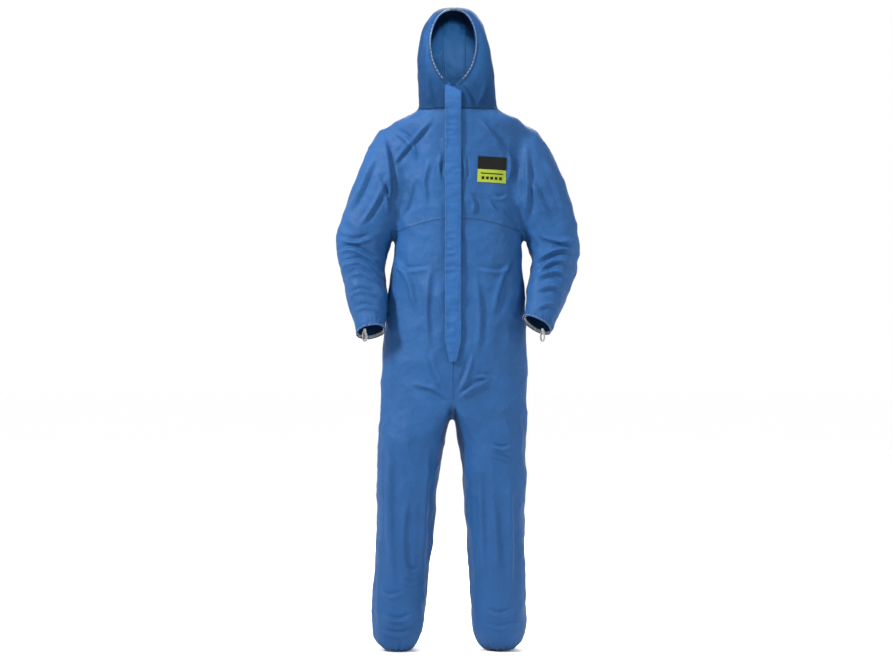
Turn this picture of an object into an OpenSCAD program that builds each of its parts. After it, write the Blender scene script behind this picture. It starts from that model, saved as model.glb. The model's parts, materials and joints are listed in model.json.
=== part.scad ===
/* [Cloth] */
// Thickness of the solids that stand for the non-woven cloth
cloth_t = 2; // [1.5:0.25:2.5]
// Height of the neck seam above the ends of the legs
neck_h = 1500; // [1450:10:1550]
// Gap between two pieces of cloth that move apart
bend_gap = 0.6; // [0.4:0.1:1]

/* [Zip] */
// Distance of the zip from the middle of the suit
zip_x = 3; // [0:1:5]
// Height of the upper end of the zip
zip_top = 1562; // [1540:1:1566]
// Height of the lower end of the zip
zip_bottom = 815; // [810:5:840]
// Width of the slot that the two front edges leave for the coils
zip_slot = 12; // [11:0.5:14]
// Width of each tape
tape_w = 13; // [11:1:14]
// Width of each coil
coil_w = 2.5; // [2:0.1:2.8]

/* [Slider] */
// Length of the slider
slider_l = 12; // [10:0.5:14]
// Width of the slider
slider_w = 9; // [8.5:0.5:10]
// Length of the pull tab
puller_l = 22; // [18:1:26]
// Radius of the pin that the pull tab turns on
pin_r = 0.7; // [0.6:0.05:0.8]

/* [Flap] */
// Width of the flap over the zip
flap_w = 45; // [42:1:48]
// Thickness of the folded cloth of the flap
flap_t = 1.2; // [1:0.1:1.5]
// Clear height between the cloth and the inside of the flap
flap_lift = 7; // [6.8:0.1:9]

/* [Labels and elastic] */
// Width of the printed chest label
label_w = 78; // [60:1:84]
// Height of the printed chest label
label_l = 70; // [60:1:80]
// Thickness of an elastic band
elastic_t = 1.4; // [1:0.1:1.6]
// Width of an elastic band
elastic_w = 9; // [6:1:12]
// Length of a finger loop
loop_l = 36; // [30:1:45]

/* [Hidden] */
$fn = 48;

blue = [0.24, 0.43, 0.67];
white = [0.93, 0.93, 0.91];

// ---- Outlines. Heights are above the ends of the legs; right and left are the wearer's, and right is -X. ----

front_y = -118;
// Torso rings: height, middle x, half width, back y. The front stays at front_y, so that the zip is straight.
torso_rings = [
    [705, 5, 205, 116], [760, 6, 204, 121], [820, 7, 203, 121], [900, 10, 198, 110],
    [960, 12, 193, 101], [1020, 14, 187, 97], [1080, 16, 180, 100], [1140, 17, 175, 106],
    [1200, 18, 176, 112], [1260, 18, 178, 116], [1320, 19, 181, 117], [1380, 20, 184, 113],
    [1440, 20, 187, 104], [1458, 20, 185, 98], [1474, 20, 174, 90], [1487, 19, 144, 81], [1500, 18, 109, 72]
];
torso_power = 2.3;   // roundness of a torso ring, 2 being an ellipse
seam_h = 1199;       // chest seam at the zip
seam_drop = 36;      // how much lower the chest seam is at the armpits
armhole_low = 1166;
armhole_high = 1470;
armhole_deg = 36;    // half the part of the ring that the armhole takes

// Sleeve rings: inner edge x and height, outer edge x and height, half depth, middle y, forward tilt.
sleeve_rings_right = [
    [-152, 1165, -204, 1452, 86, 0, 0], [-157, 1163, -236, 1397, 87, 0, 0],
    [-161, 1160, -264, 1332, 84, 0, 0], [-165, 1156, -290, 1255, 80, 0, 0],
    [-169, 1149, -309, 1206, 77, 0, 0], [-173, 1138, -322, 1166, 75, 0, 2],
    [-181, 1108, -325, 1136, 74, -2, 8], [-187, 1075, -321, 1098, 72, -9, 15],
    [-187, 1042, -313, 1062, 70, -20, 20], [-183, 1010, -304, 1026, 67, -34, 24],
    [-180, 968, -293, 982, 63, -54, 26], [-180, 932, -281, 940, 56, -74, 26],
    [-184, 906, -270, 905, 48, -90, 26], [-187, 893, -263, 880, 41, -100, 26]
];
sleeve_rings_left = [
    [181, 1172, 236, 1454, 86, 0, 0], [188, 1169, 270, 1397, 87, 0, 0],
    [193, 1165, 301, 1334, 84, 0, 0], [197, 1160, 330, 1264, 80, 0, 0],
    [202, 1151, 346, 1209, 77, 0, 0], [207, 1139, 354, 1163, 75, 0, 2],
    [215, 1111, 357, 1127, 74, -2, 8], [221, 1081, 353, 1090, 72, -9, 15],
    [217, 1051, 341, 1048, 69, -20, 20], [211, 1021, 327, 1012, 66, -36, 24],
    [206, 985, 311, 972, 61, -56, 26], [201, 955, 298, 931, 54, -76, 26],
    [196, 935, 283, 903, 47, -91, 26], [193, 924, 271, 888, 41, -100, 26]
];
cap_end = 2;      // rows of a sleeve where one piece ends and the next starts
underarm_end = 4;
upper_end = 6;
elbow_end = 9;
sleeve_end = 13;

// Leg rings: height, middle x, half width, half depth.
leg_rings_right = [
    [704.4, -102, 99, 116], [655, -107, 99, 112], [605, -113, 96, 108], [560, -117, 92, 105],
    [490, -123, 87, 101], [420, -127, 83, 99], [375, -129, 82, 97], [330, -131, 80, 96],
    [285, -134, 79, 94], [240, -137, 78, 93], [150, -146, 78, 92], [97, -151, 76, 90],
    [52, -153, 71, 84], [24, -152, 61, 74], [9, -151, 50, 62], [1, -151, 38, 48]
];
leg_rings_left = [
    [704.4, 106, 100, 116], [655, 109, 100, 112], [605, 112, 97, 108], [560, 115, 93, 105],
    [490, 118, 89, 101], [420, 119, 85, 99], [375, 120, 83, 97], [330, 121, 81, 96],
    [285, 123, 80, 94], [240, 124, 79, 93], [150, 128, 78, 92], [97, 131, 76, 90],
    [52, 132, 72, 84], [24, 131, 63, 74], [9, 130, 52, 62], [1, 130, 40, 48]
];
leg_power = 2.3;
leg_top = 705;
leg_blend = 130;  // height over which a leg turns from half of the torso into its own shape
crotch_half = 2;  // half of the gap between the two legs at the crotch
hip_end = 3;      // rows of a leg where one piece ends and the next starts
thigh_end = 5;
knee_end = 9;
shin_end = 15;

// Hood: each arch stands in a plane through the line between the two sides of the neck.
hood_half_w = 108;
hood_y = -23;         // that line's y
hood_x = [18, 7];     // middle x at the neck seam and further up
// Lean of the arch, from 0 towards the front to 180 towards the back, and its reach.
hood_arches = [
    [0, 95], [18, 100], [36, 117], [48, 143], [59, 176], [69, 235], [77, 283], [90, 292],
    [104, 293], [116, 279], [130, 237], [142, 192], [156, 147], [168, 112], [180, 95]
];
// Half width of the gap between the two side panels: the zip, the face opening, then the centre strip.
hood_gaps = [
    [0, 6], [34, 6], [41, 30], [47, 46], [55, 58], [62, 61], [68, 55], [73, 43], [77, 32], [78, 31], [180, 31]
];
hood_top = 77;        // lean of the upper edge of the face opening
nape_lean = 140;      // lean at which the centre strip starts to move with the hood
hood_pole = 1.5;      // the arches stop short of their common ends by this angle

// ---- Geometry ----

function up(h) = h - neck_h;
function mix(a, b, t) = a + (b - a) * t;
function unit(v) = v / norm(v);
function sgn_pow(x, p) = sign(x) * pow(abs(x), p);
function between(rows, x, i = 0) =
    i >= len(rows) - 2 || x <= rows[i + 1][0]
    ? mix(rows[i], rows[i + 1], (x - rows[i][0]) / (rows[i + 1][0] - rows[i][0]))
    : between(rows, x, i + 1);
function steps(a, b, n) = [for (i = [0:n]) mix(a, b, i / n)];
function toward(p, c, d) = p + unit(c - p) * d;

// A point on the torso at an angle counted from +X towards the back, off the cloth's outside by "off".
function torso_point(h, deg, off = 0) = let (
    r = between(torso_rings, h),
    mid = (front_y + r[3]) / 2, half = (r[3] - front_y) / 2, p = 2 / torso_power
) [r[1] + (r[2] + off) * sgn_pow(cos(deg), p), mid + (half + off) * sgn_pow(sin(deg), p), up(h)];
// The angle at which the front of the torso ring at height h has the given x.
function front_deg(h, x) = let (r = between(torso_rings, h), d = x - r[1])
    270 + sign(d) * (90 - acos(pow(abs(d) / r[2], torso_power / 2)));
// The chest seam is lower towards the armpits.
function seam_at(deg) = seam_h - seam_drop * pow(abs(cos(deg)), 3);
function armhole_half(h) = let (v = (h - armhole_low) / (armhole_high - armhole_low))
    v <= 0 || v >= 1 ? 0 : armhole_deg * sqrt(1 - pow(2 * v - 1, 2));

function hood_point(lean, u, off = 0) = let (
    reach = between(hood_arches, lean)[1] + off, p = 2 / (2.3 + 0.7 * sin(lean)),
    r = reach * pow(sin(u), p), h = neck_h + r * sin(lean),
    x = mix(hood_x[0], hood_x[1], min(1, (h - neck_h) / 150))
) [x + (hood_half_w + off) * sgn_pow(cos(u), p), hood_y - r * cos(lean), r * sin(lean)];
// The place on an arch, from 0 at the left end to 90 at the middle and on, where it is w left of its middle.
function hood_place(lean, w) = let (
    a = acos(pow(abs(w) / hood_half_w, (2.3 + 0.7 * sin(lean)) / 2))
) w < 0 ? 180 - a : a;
// The place on an arch where the hood starts to move with its crown.
function hood_bend_h(lean) = 100 + lean / 5;
function hood_bend(lean, extra = 0) = let (
    share = (hood_bend_h(lean) + extra) / max(1, between(hood_arches, lean)[1] * sin(lean))
) share >= 1 ? 90 : asin(pow(share, (2.3 + 0.7 * sin(lean)) / 2));

// One ring of a sleeve or leg, counted from its outer edge round by the front.
function loop_ring(c, u, v, a, b, n, power) = [for (i = [0:n - 1]) let (t = 360 * i / n)
    c + u * a * sgn_pow(cos(t), 2 / power) + v * b * sgn_pow(sin(t), 2 / power)];
function sleeve_ring(row, n) = let (
    low = [row[0], row[5], up(row[1])], high = [row[2], row[5], up(row[3])]
) loop_ring((low + high) / 2, unit(high - low), [0, -cos(row[6]), sin(row[6])], norm(high - low) / 2, row[4], n, 2.2);
// The foot of the torso, halved at the crotch: a leg starts from it, point for point with the leg's own rings.
function crotch_ring(n, out) = let (x = zip_x + out * crotch_half, edge = front_deg(leg_top, x),
    f = torso_point(leg_top, edge), g = torso_point(leg_top, 360 - edge)
) [for (i = [0:n - 1]) let (t = 360 * i / n)
    t <= 120 ? torso_point(leg_top, mix(out > 0 ? 360 : 180, edge, t / 120))
    : t >= 240 ? torso_point(leg_top, 360 - mix(out > 0 ? 360 : 180, edge, (360 - t) / 120))
    : mix(f, g, (t - 120) / 120)];
function leg_ring(row, n, out) = let (
    own = loop_ring([row[1], 0, up(row[0])], [out, 0, 0], [0, -1, 0], row[2], row[3], n, leg_power),
    top = crotch_ring(n, out), w = min(1, (leg_top - row[0]) / leg_blend), s = w * w * (3 - 2 * w)
) [for (i = [0:n - 1]) mix([top[i][0], top[i][1], up(row[0])], own[i], s)];
// The edge of an armhole, counted as the sleeve's rings are; side is -1 on the right.
function armhole_ring(side, n, gap) = [for (i = [0:n - 1]) let (
    t = 360 * i / n, h = mix(armhole_low, armhole_high, (1 + cos(t)) / 2), half = armhole_deg * sin(t)
) torso_point(h, side < 0 ? 180 + half : -half) + [side * gap, 0, 0]];
function middle(ring) = [for (k = [0:2]) sum([for (p = ring) p[k]]) / len(ring)];
function sum(v, i = 0) = i == len(v) ? 0 : v[i] + sum(v, i + 1);
function inward(rings, d) = [for (r = rings) let (c = middle(r)) [for (p = r) toward(p, c, d)]];

// A solid between an outer and an inner grid of points. A loop's columns join up, as round a sleeve.
module skin(outer, inner, loop = false) {
    rows = len(outer);
    cols = len(outer[0]);
    last = loop ? cols - 1 : cols - 2;
    all = [for (g = [outer, inner]) for (r = g) for (p = r) p];
    function id(side, j, i) = side * rows * cols + j * cols + i % cols;
    // a quad as two triangles
    function quad(a, b, c, d, flip) = flip ? [[a, c, b], [a, d, c]] : [[a, b, c], [a, c, d]];
    j0 = floor(rows / 2) - (rows > 1 ? 1 : 0);
    i0 = floor(cols / 2);
    facing = cross(outer[j0][i0 + (loop ? 0 : -1)] - outer[j0][(i0 + (loop ? 1 : 0)) % cols],
                   outer[j0 + 1][i0] - outer[j0][i0]) * (outer[j0][i0] - inner[j0][i0]);
    flip = facing > 0;
    faces = concat(
        [for (j = [0:rows - 2]) for (i = [0:last])
            each quad(id(0, j, i), id(0, j, i + 1), id(0, j + 1, i + 1), id(0, j + 1, i), flip)],
        [for (j = [0:rows - 2]) for (i = [0:last])
            each quad(id(1, j, i), id(1, j, i + 1), id(1, j + 1, i + 1), id(1, j + 1, i), !flip)],
        [for (i = [0:last]) each quad(id(0, 0, i), id(0, 0, i + 1), id(1, 0, i + 1), id(1, 0, i), !flip)],
        [for (i = [0:last])
            each quad(id(0, rows - 1, i), id(0, rows - 1, i + 1), id(1, rows - 1, i + 1), id(1, rows - 1, i), flip)],
        loop ? [] : [for (j = [0:rows - 2])
            each quad(id(0, j, 0), id(0, j + 1, 0), id(1, j + 1, 0), id(1, j, 0), flip)],
        loop ? [] : [for (j = [0:rows - 2])
            each quad(id(0, j, cols - 1), id(0, j + 1, cols - 1), id(1, j + 1, cols - 1), id(1, j, cols - 1), !flip)]
    );
    polyhedron(all, faces, convexity = 8);
}

// ---- Torso ----

upper_rows = [1199, 1240, 1285, 1330, 1375, 1415, 1445, 1462, 1474, 1487, 1500];
lower_rows = [705, 760, 820, 880, 940, 1000, 1060, 1115, 1160, 1199];
// A point of an upper panel: its lowest row lies on the chest seam.
function upper_h(h, deg) = mix(seam_at(deg), 1500, (h - seam_h) / (1500 - seam_h));
function lower_h(h, deg) = mix(705, seam_at(deg) - bend_gap / 2, (h - 705) / (seam_h - 705));

module torso_panel(rows, cols, from, to, height) {
    grid = function (off) [for (h = rows) [for (s = steps(0, 1, cols)) let (d = mix(from(h), to(h), s))
        torso_point(height(h, d), d, off)]];
    skin(grid(0), grid(-cloth_t));
}

function slot_edge(h, side) = front_deg(h, zip_x + side * zip_slot / 2);
front_cols = 11;

module front_upper_right() color(blue) torso_panel(upper_rows, front_cols,
    function (h) 180 + armhole_half(h), function (h) slot_edge(h, -1), function (h, d) upper_h(h, d));
module front_upper_left() color(blue) torso_panel(upper_rows, front_cols,
    function (h) slot_edge(h, 1), function (h) 360 - armhole_half(h), function (h, d) upper_h(h, d));
module back_upper() color(blue) torso_panel(upper_rows, 20,
    function (h) 0.4 + armhole_half(h), function (h) 179.6 - armhole_half(h), function (h, d) upper_h(h, d));

module front_lower_right() color(blue) torso_panel(lower_rows, front_cols,
    function (h) 180, function (h) slot_edge(h, -1), function (h, d) lower_h(h, d));
module front_lower_left() color(blue) torso_panel(lower_rows, front_cols,
    function (h) slot_edge(h, 1), function (h) 360, function (h, d) lower_h(h, d));
module back_lower_right() color(blue) torso_panel(lower_rows, 10,
    function (h) 90.1, function (h) 179.8, function (h, d) lower_h(h, d));
module back_lower_left() color(blue) torso_panel(lower_rows, 10,
    function (h) 0.2, function (h) 89.9, function (h, d) lower_h(h, d));

// A small diamond that lets the legs stride, hung between the tops of the legs.
gusset_w = 3;
gusset_l = 150;
gusset_h = 22;
module crotch_gusset() color(blue)
    translate([zip_x, 0, up(681)]) rotate([0, 90, 0])
        linear_extrude(gusset_w - 0.4, center = true)
            polygon([[-gusset_h, -gusset_l / 4], [-gusset_h, gusset_l / 4], [0, gusset_l / 2],
                     [gusset_h / 2, 0], [0, -gusset_l / 2]]);

waist_h = 1062;
module waist_elastic() color(white)
    skin([for (h = [waist_h, waist_h + elastic_w]) [for (d = steps(28, 152, 18)) torso_point(h, d, -cloth_t - 0.6)]],
         [for (h = [waist_h, waist_h + elastic_w]) [for (d = steps(28, 152, 18))
             torso_point(h, d, -cloth_t - 0.6 - elastic_t)]]);

// The printed label lies on the left breast.
label_x = 72;
label_low = 1300;
module chest_label() color([0.12, 0.13, 0.12]) {
    label = function (off) [for (h = steps(label_low, label_low + label_l, 4))
        [for (x = steps(label_x, label_x + label_w, 8)) torso_point(h, front_deg(h, x), off)]];
    skin(label(0.9), label(0.3));
}
module size_label() color(white) translate([2, 62, up(1448)]) cube([32, 0.8, 42]);

// ---- Zip ----

tape_t = 0.8;
tape_y = front_y + cloth_t + 2.4;   // front face of the tapes, behind the cloth
coil_y = front_y - 0.4;             // front face of the coils
coil_gap = 1.2;                     // between the coils, where the slider's post runs
zip_len = zip_top - zip_bottom;

module zip_tape(side) color(blue)
    translate([zip_x + side * (coil_gap / 2 + tape_w / 2), tape_y + tape_t / 2, up(zip_bottom) + zip_len / 2])
        cube([tape_w, tape_t, zip_len], center = true);
module zip_coil(side) color([0.2, 0.36, 0.6])
    translate([zip_x + side * (coil_gap / 2 + coil_w / 2), (coil_y + tape_y) / 2, up(zip_bottom) + zip_len / 2])
        cube([coil_w, tape_y - coil_y, zip_len - 8], center = true);
module zip_tape_right() zip_tape(-1);
module zip_tape_left() zip_tape(1);
module zip_coil_right() zip_coil(-1);
module zip_coil_left() zip_coil(1);
module zip_top_stops() color("silver") for (side = [-1, 1])
    translate([zip_x + side * (coil_gap / 2 + coil_w / 2), (coil_y + tape_y) / 2, up(zip_top) - 2])
        cube([coil_w + 0.6, tape_y - coil_y, 3], center = true);
module zip_bottom_stop() color("silver")
    translate([zip_x, (coil_y + tape_y) / 2, up(zip_bottom) + 2])
        cube([2 * coil_w + coil_gap + 1, tape_y - coil_y, 3], center = true);

// The slider holds the tapes between two plates joined by a thin post. Its middle is at the origin, front -Y.
slider_h = 1551;
slider_plate = 1;
slider_play = 0.35;
slider_front = coil_y - slider_play;                // back face of its front plate
slider_back = tape_y + tape_t + slider_play;        // front face of its back plate
pin_y = slider_front - slider_plate - 1.9;
barrel_r = 1.6;
barrel_l = 4.2;
module slider_plate_shape() polygon([
    [-slider_w / 2, slider_l / 2 - 2], [-slider_w / 2 + 2, slider_l / 2], [slider_w / 2 - 2, slider_l / 2],
    [slider_w / 2, slider_l / 2 - 2], [slider_w / 2 - 1.2, -slider_l / 2], [-slider_w / 2 + 1.2, -slider_l / 2]]);
// A flat shape drawn as x and height, standing between two values of y.
module upright(y0, y1) translate([0, y1, 0]) rotate([90, 0, 0]) linear_extrude(y1 - y0) children();
module zip_slider() color("silver") translate([zip_x, 0, up(slider_h)]) {
    upright(slider_front - slider_plate, slider_front) slider_plate_shape();
    upright(slider_back, slider_back + slider_plate) slider_plate_shape();
    translate([0, (slider_front + slider_back) / 2, slider_l / 2 - 1.5])
        cube([coil_gap - 0.5, slider_back - slider_front + 0.2, 2.6], center = true);
    for (side = [-1, 1]) translate([side * (barrel_l / 2 + 0.7), (pin_y + slider_front - slider_plate) / 2 + 0.1, 2])
        cube([1, slider_front - slider_plate - pin_y + 1.2, 2.6], center = true);
    translate([0, pin_y, 2]) rotate([0, 90, 0]) cylinder(r = pin_r, h = barrel_l + 2, center = true);
}
module zip_puller() color("silver") translate([zip_x, pin_y, up(slider_h) + 2]) difference() {
    union() {
        rotate([0, 90, 0]) cylinder(r = barrel_r, h = barrel_l, center = true);
        upright(-0.55, 0.55) difference() {
            union() {
                translate([-2.1, -puller_l + 3]) square([4.2, puller_l - 3]);
                translate([0, -puller_l + 3]) circle(r = 3);
            }
            translate([0, -puller_l + 3.2]) circle(r = 1.4);
        }
    }
    rotate([0, 90, 0]) cylinder(r = pin_r + 0.06, h = barrel_l + 2, center = true);
}

// ---- Flap over the zip ----

flap_left = zip_x - flap_w / 2 - 0.5;   // sewn edge
flap_in = front_y - flap_lift;          // inner face of the flap
module flap_shape() polygon([
    [flap_left, 1569], [flap_left + flap_w, 1550], [flap_left + flap_w, 862],
    [flap_left + flap_w - 13, 805], [flap_left + 12, 805], [flap_left, 862]]);
module zip_flap() color(blue) {
    translate([0, 0, -neck_h]) upright(flap_in - flap_t, flap_in) flap_shape();
    translate([flap_left, flap_in - 0.1, up(864)]) cube([4, flap_lift - 0.6, 1522 - 864]);
}
adhesive_w = 9;
module adhesive_strip(y0, y1, w) translate([0, 0, -neck_h]) upright(y0, y1)
    translate([flap_left + flap_w - 3 - w, 880]) square([w, 1535 - 880]);
module flap_adhesive() color([0.85, 0.85, 0.8]) adhesive_strip(flap_in, flap_in + 0.3, adhesive_w);
module adhesive_liner() color(white) adhesive_strip(flap_in + 0.3, flap_in + 0.6, adhesive_w + 1.5);

// ---- Hood ----

function hood_gap(lean) = between(hood_gaps, lean)[1];
// Where the edge of a side panel lies on its arch; the zip is off the middle of the arch.
function hood_edge(lean, side) = let (
    h = between(hood_arches, lean)[1] * sin(lean),
    off = lean <= 34 ? side * (zip_x - mix(hood_x[0], hood_x[1], h / 150)) : 0
) hood_place(lean, hood_gap(lean) + off);
function hood_at(lean, u, side, off = 0) = hood_point(lean, side > 0 ? u : 180 - u, off);
function hood_in(p) = toward(p, [hood_x[1], 0, min(max(p[2], 20), 150)], cloth_t);
module hood_panel(leans, cols, from, to, side) {
    grid = [for (l = leans) [for (s = steps(0, 1, cols)) hood_at(l, mix(from(l), to(l), s), side)]];
    skin(grid, [for (r = grid) [for (p = r) hood_in(p)]]);
}
// The crown parts from the neck of the hood between these leans, where the arches rise above the bend.
side_leans = [50.6, 55, 62, 69, 74, 77, 80, 86, 94, 102, 110, 118, 126, 132, 138];
chin_leans = [0.5, 12, 24, 34, 41, 46, 50];
nape_leans = [138.9, 146, 154, 168, 179.5];
module hood_neck(side) color(blue) hood_panel(
    concat(chin_leans, side_leans, nape_leans), 6, function (l) hood_pole,
    function (l) l < nape_leans[0] ? min(hood_bend(l), hood_edge(l, side) - 0.3) : hood_edge(l, side) - 0.3, side);
module hood_side(side) color(blue) hood_panel(
    side_leans, 8, function (l) hood_bend(l, 1), function (l) hood_edge(l, side) - 0.3, side);
module hood_neck_right() hood_neck(-1);
module hood_neck_left() hood_neck(1);
module hood_side_right() hood_side(-1);
module hood_side_left() hood_side(1);
module hood_strip(leans) color(blue) {
    grid = [for (l = leans) let (e = hood_edge(l, 1)) [for (u = steps(e, 180 - e, 6)) hood_point(l, u)]];
    skin(grid, [for (r = grid) [for (p = r) hood_in(p)]]);
}
module hood_centre() hood_strip([hood_top, 80, 86, 94, 102, 110, 118, 126, 132, nape_lean - 0.5]);
module hood_nape() hood_strip([nape_lean, 154, 168, 179.5]);

// The elastic runs round the face opening, just inside its hem.
elastic_leans = [39, 43, 47, 51, 55, 59, 62, 65, 68, 71, 74];
module face_elastic() color(white) {
    face = function (d) concat(
        [for (l = elastic_leans) toward(hood_at(l, hood_edge(l, 1), 1, -6), [hood_x[1], 0, 150], d)],
        [for (i = [len(elastic_leans) - 1:-1:0]) let (l = elastic_leans[i])
            toward(hood_at(l, hood_edge(l, -1), -1, -6), [hood_x[1], 0, 150], d)]);
    a = face(0);
    b = face(elastic_t);
    skin([a, [for (p = a) p + [0, elastic_w - 3, 0]]], [b, [for (p = b) p + [0, elastic_w - 3, 0]]], loop = true);
}

// ---- Sleeves ----

sleeve_cols = 24;
function rows_of(table, from, to) = [for (i = [from:to]) table[i]];
function sleeve_tube(side, from, to) = [for (r = rows_of(side < 0 ? sleeve_rings_right : sleeve_rings_left, from, to))
    sleeve_ring(r, sleeve_cols)];
// Shortens a stack of rings at its start, so that it clears the piece before it.
function eased(rings, gap) = [for (i = [0:len(rings) - 1]) i > 0 ? rings[i]
    : [for (k = [0:len(rings[0]) - 1]) toward(rings[0][k], rings[1][k], gap)]];
module tube(rings) color(blue) skin(rings, inward(rings, cloth_t), loop = true);
module sleeve_cap(side) tube(concat([armhole_ring(side, sleeve_cols, 3)], sleeve_tube(side, 0, cap_end)));
module underarm_fold(side) tube(eased(sleeve_tube(side, cap_end, underarm_end), bend_gap));
module upper_sleeve(side) tube(eased(sleeve_tube(side, underarm_end, upper_end), bend_gap));
module elbow_fold(side) tube(eased(sleeve_tube(side, upper_end, elbow_end), bend_gap));
module forearm_sleeve(side) tube(eased(sleeve_tube(side, elbow_end, sleeve_end), bend_gap));
module cuff_elastic(side) color(white) {
    rings = inward(sleeve_tube(side, sleeve_end - 1, sleeve_end), cloth_t + 0.8);
    band = [[for (k = [0:sleeve_cols - 1]) toward(rings[1][k], rings[0][k], elastic_w + 1)],
            [for (k = [0:sleeve_cols - 1]) toward(rings[1][k], rings[0][k], 1)]];
    skin(band, inward(band, elastic_t), loop = true);
}
module sleeve_cap_right() sleeve_cap(-1);
module sleeve_cap_left() sleeve_cap(1);
module underarm_fold_right() underarm_fold(-1);
module underarm_fold_left() underarm_fold(1);
module upper_sleeve_right() upper_sleeve(-1);
module upper_sleeve_left() upper_sleeve(1);
module elbow_fold_right() elbow_fold(-1);
module elbow_fold_left() elbow_fold(1);
module forearm_sleeve_right() forearm_sleeve(-1);
module forearm_sleeve_left() forearm_sleeve(1);
module cuff_elastic_right() cuff_elastic(-1);
module cuff_elastic_left() cuff_elastic(1);

// A flat elastic loop for the middle finger, hung inside the front of the cuff.
loop_w = 15;
loop_band = 3;
module finger_loop(x) color(white) translate([x, -126, up(897)]) upright(-loop_band / 2, loop_band / 2)
    difference() {
        union() {
            translate([0, -loop_l + loop_w / 2]) circle(d = loop_w);
            translate([-loop_w / 2, -loop_l + loop_w / 2]) square([loop_w, loop_l - loop_w / 2 - 3]);
            translate([-3, -4]) square([6, 4]);
        }
        translate([0, -loop_l + loop_w / 2]) circle(d = loop_w - 2.4);
        translate([-loop_w / 2 + 1.2, -loop_l + loop_w / 2]) square([loop_w - 2.4, loop_l - loop_w / 2 - 4.2]);
    }
module finger_loop_right() finger_loop(-240);
module finger_loop_left() finger_loop(248);

// ---- Legs ----

leg_cols = 28;
function leg_tube(side, from, to) = [for (r = rows_of(side < 0 ? leg_rings_right : leg_rings_left, from, to))
    leg_ring(r, leg_cols, side)];
module hip_fold(side) tube(leg_tube(side, 0, hip_end));
module thigh(side) tube(eased(leg_tube(side, hip_end, thigh_end), bend_gap));
module knee_fold(side) tube(eased(leg_tube(side, thigh_end, knee_end), bend_gap));
module shin(side) tube(eased(leg_tube(side, knee_end, shin_end), bend_gap));
module ankle_elastic(side) color(white) {
    row = (side < 0 ? leg_rings_right : leg_rings_left)[shin_end];
    band = [for (h = [elastic_w + 5, 5]) leg_ring([h, row[1], row[2] - cloth_t - 1, row[3] - cloth_t - 1], leg_cols, side)];
    skin(band, inward(band, elastic_t), loop = true);
}
module hip_fold_right() hip_fold(-1);
module hip_fold_left() hip_fold(1);
module thigh_right() thigh(-1);
module thigh_left() thigh(1);
module knee_fold_right() knee_fold(-1);
module knee_fold_left() knee_fold(1);
module shin_right() shin(-1);
module shin_left() shin(1);
module ankle_elastic_right() ankle_elastic(-1);
module ankle_elastic_left() ankle_elastic(1);

front_upper_right();
front_upper_left();
back_upper();
front_lower_right();
front_lower_left();
back_lower_right();
back_lower_left();
crotch_gusset();
waist_elastic();
chest_label();
size_label();
zip_tape_right();
zip_tape_left();
zip_coil_right();
zip_coil_left();
zip_top_stops();
zip_bottom_stop();
zip_slider();
zip_puller();
zip_flap();
flap_adhesive();
adhesive_liner();
hood_neck_right();
hood_neck_left();
hood_nape();
hood_side_right();
hood_side_left();
hood_centre();
face_elastic();
sleeve_cap_right();
sleeve_cap_left();
underarm_fold_right();
underarm_fold_left();
upper_sleeve_right();
upper_sleeve_left();
elbow_fold_right();
elbow_fold_left();
forearm_sleeve_right();
forearm_sleeve_left();
cuff_elastic_right();
cuff_elastic_left();
finger_loop_right();
finger_loop_left();
hip_fold_right();
hip_fold_left();
thigh_right();
thigh_left();
knee_fold_right();
knee_fold_left();
shin_right();
shin_left();
ankle_elastic_right();
ankle_elastic_left();
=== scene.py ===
"""Chemical protective suit: the looks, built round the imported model."""

import json
import math

import bmesh
import bpy
import numpy as np
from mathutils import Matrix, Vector
from mathutils.bvhtree import BVHTree
from mathutils.kdtree import KDTree

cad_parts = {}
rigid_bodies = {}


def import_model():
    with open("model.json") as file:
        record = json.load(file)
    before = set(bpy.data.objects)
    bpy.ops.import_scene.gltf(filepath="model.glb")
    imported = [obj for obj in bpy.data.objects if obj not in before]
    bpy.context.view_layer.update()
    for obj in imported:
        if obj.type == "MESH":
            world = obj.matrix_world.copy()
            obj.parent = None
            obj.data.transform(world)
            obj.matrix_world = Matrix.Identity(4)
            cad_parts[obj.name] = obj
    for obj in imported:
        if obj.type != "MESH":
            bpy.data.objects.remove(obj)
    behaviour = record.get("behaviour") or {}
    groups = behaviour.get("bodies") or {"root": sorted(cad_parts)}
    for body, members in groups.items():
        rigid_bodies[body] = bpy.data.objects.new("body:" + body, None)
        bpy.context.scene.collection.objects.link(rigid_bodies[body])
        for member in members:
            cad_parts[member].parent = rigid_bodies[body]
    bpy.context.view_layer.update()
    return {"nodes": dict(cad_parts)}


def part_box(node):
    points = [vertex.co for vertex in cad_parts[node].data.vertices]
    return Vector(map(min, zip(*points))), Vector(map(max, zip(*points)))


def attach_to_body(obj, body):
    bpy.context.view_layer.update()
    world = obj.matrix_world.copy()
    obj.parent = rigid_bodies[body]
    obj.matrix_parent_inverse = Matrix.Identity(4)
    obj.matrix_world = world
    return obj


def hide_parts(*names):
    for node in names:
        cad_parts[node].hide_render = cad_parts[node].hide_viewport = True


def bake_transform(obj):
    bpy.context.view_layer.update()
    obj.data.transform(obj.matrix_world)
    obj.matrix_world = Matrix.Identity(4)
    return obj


for leftover in list(bpy.data.objects):
    bpy.data.objects.remove(leftover)
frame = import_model()
scene = bpy.context.scene
MM = 0.001

# ---------------------------------------------------------------- camera and light


def aim(obj, target):
    obj.rotation_euler = (Vector(target) - obj.location).to_track_quat("-Z", "Y").to_euler()


camera = bpy.data.objects.new("camera", bpy.data.cameras.new("camera"))
scene.collection.objects.link(camera)
camera.data.lens = 100
camera.data.sensor_width = 36
camera.location = (-0.017, -6.93, -0.620)
aim(camera, (-0.017, 0, -0.620))
scene.camera = camera


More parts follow.
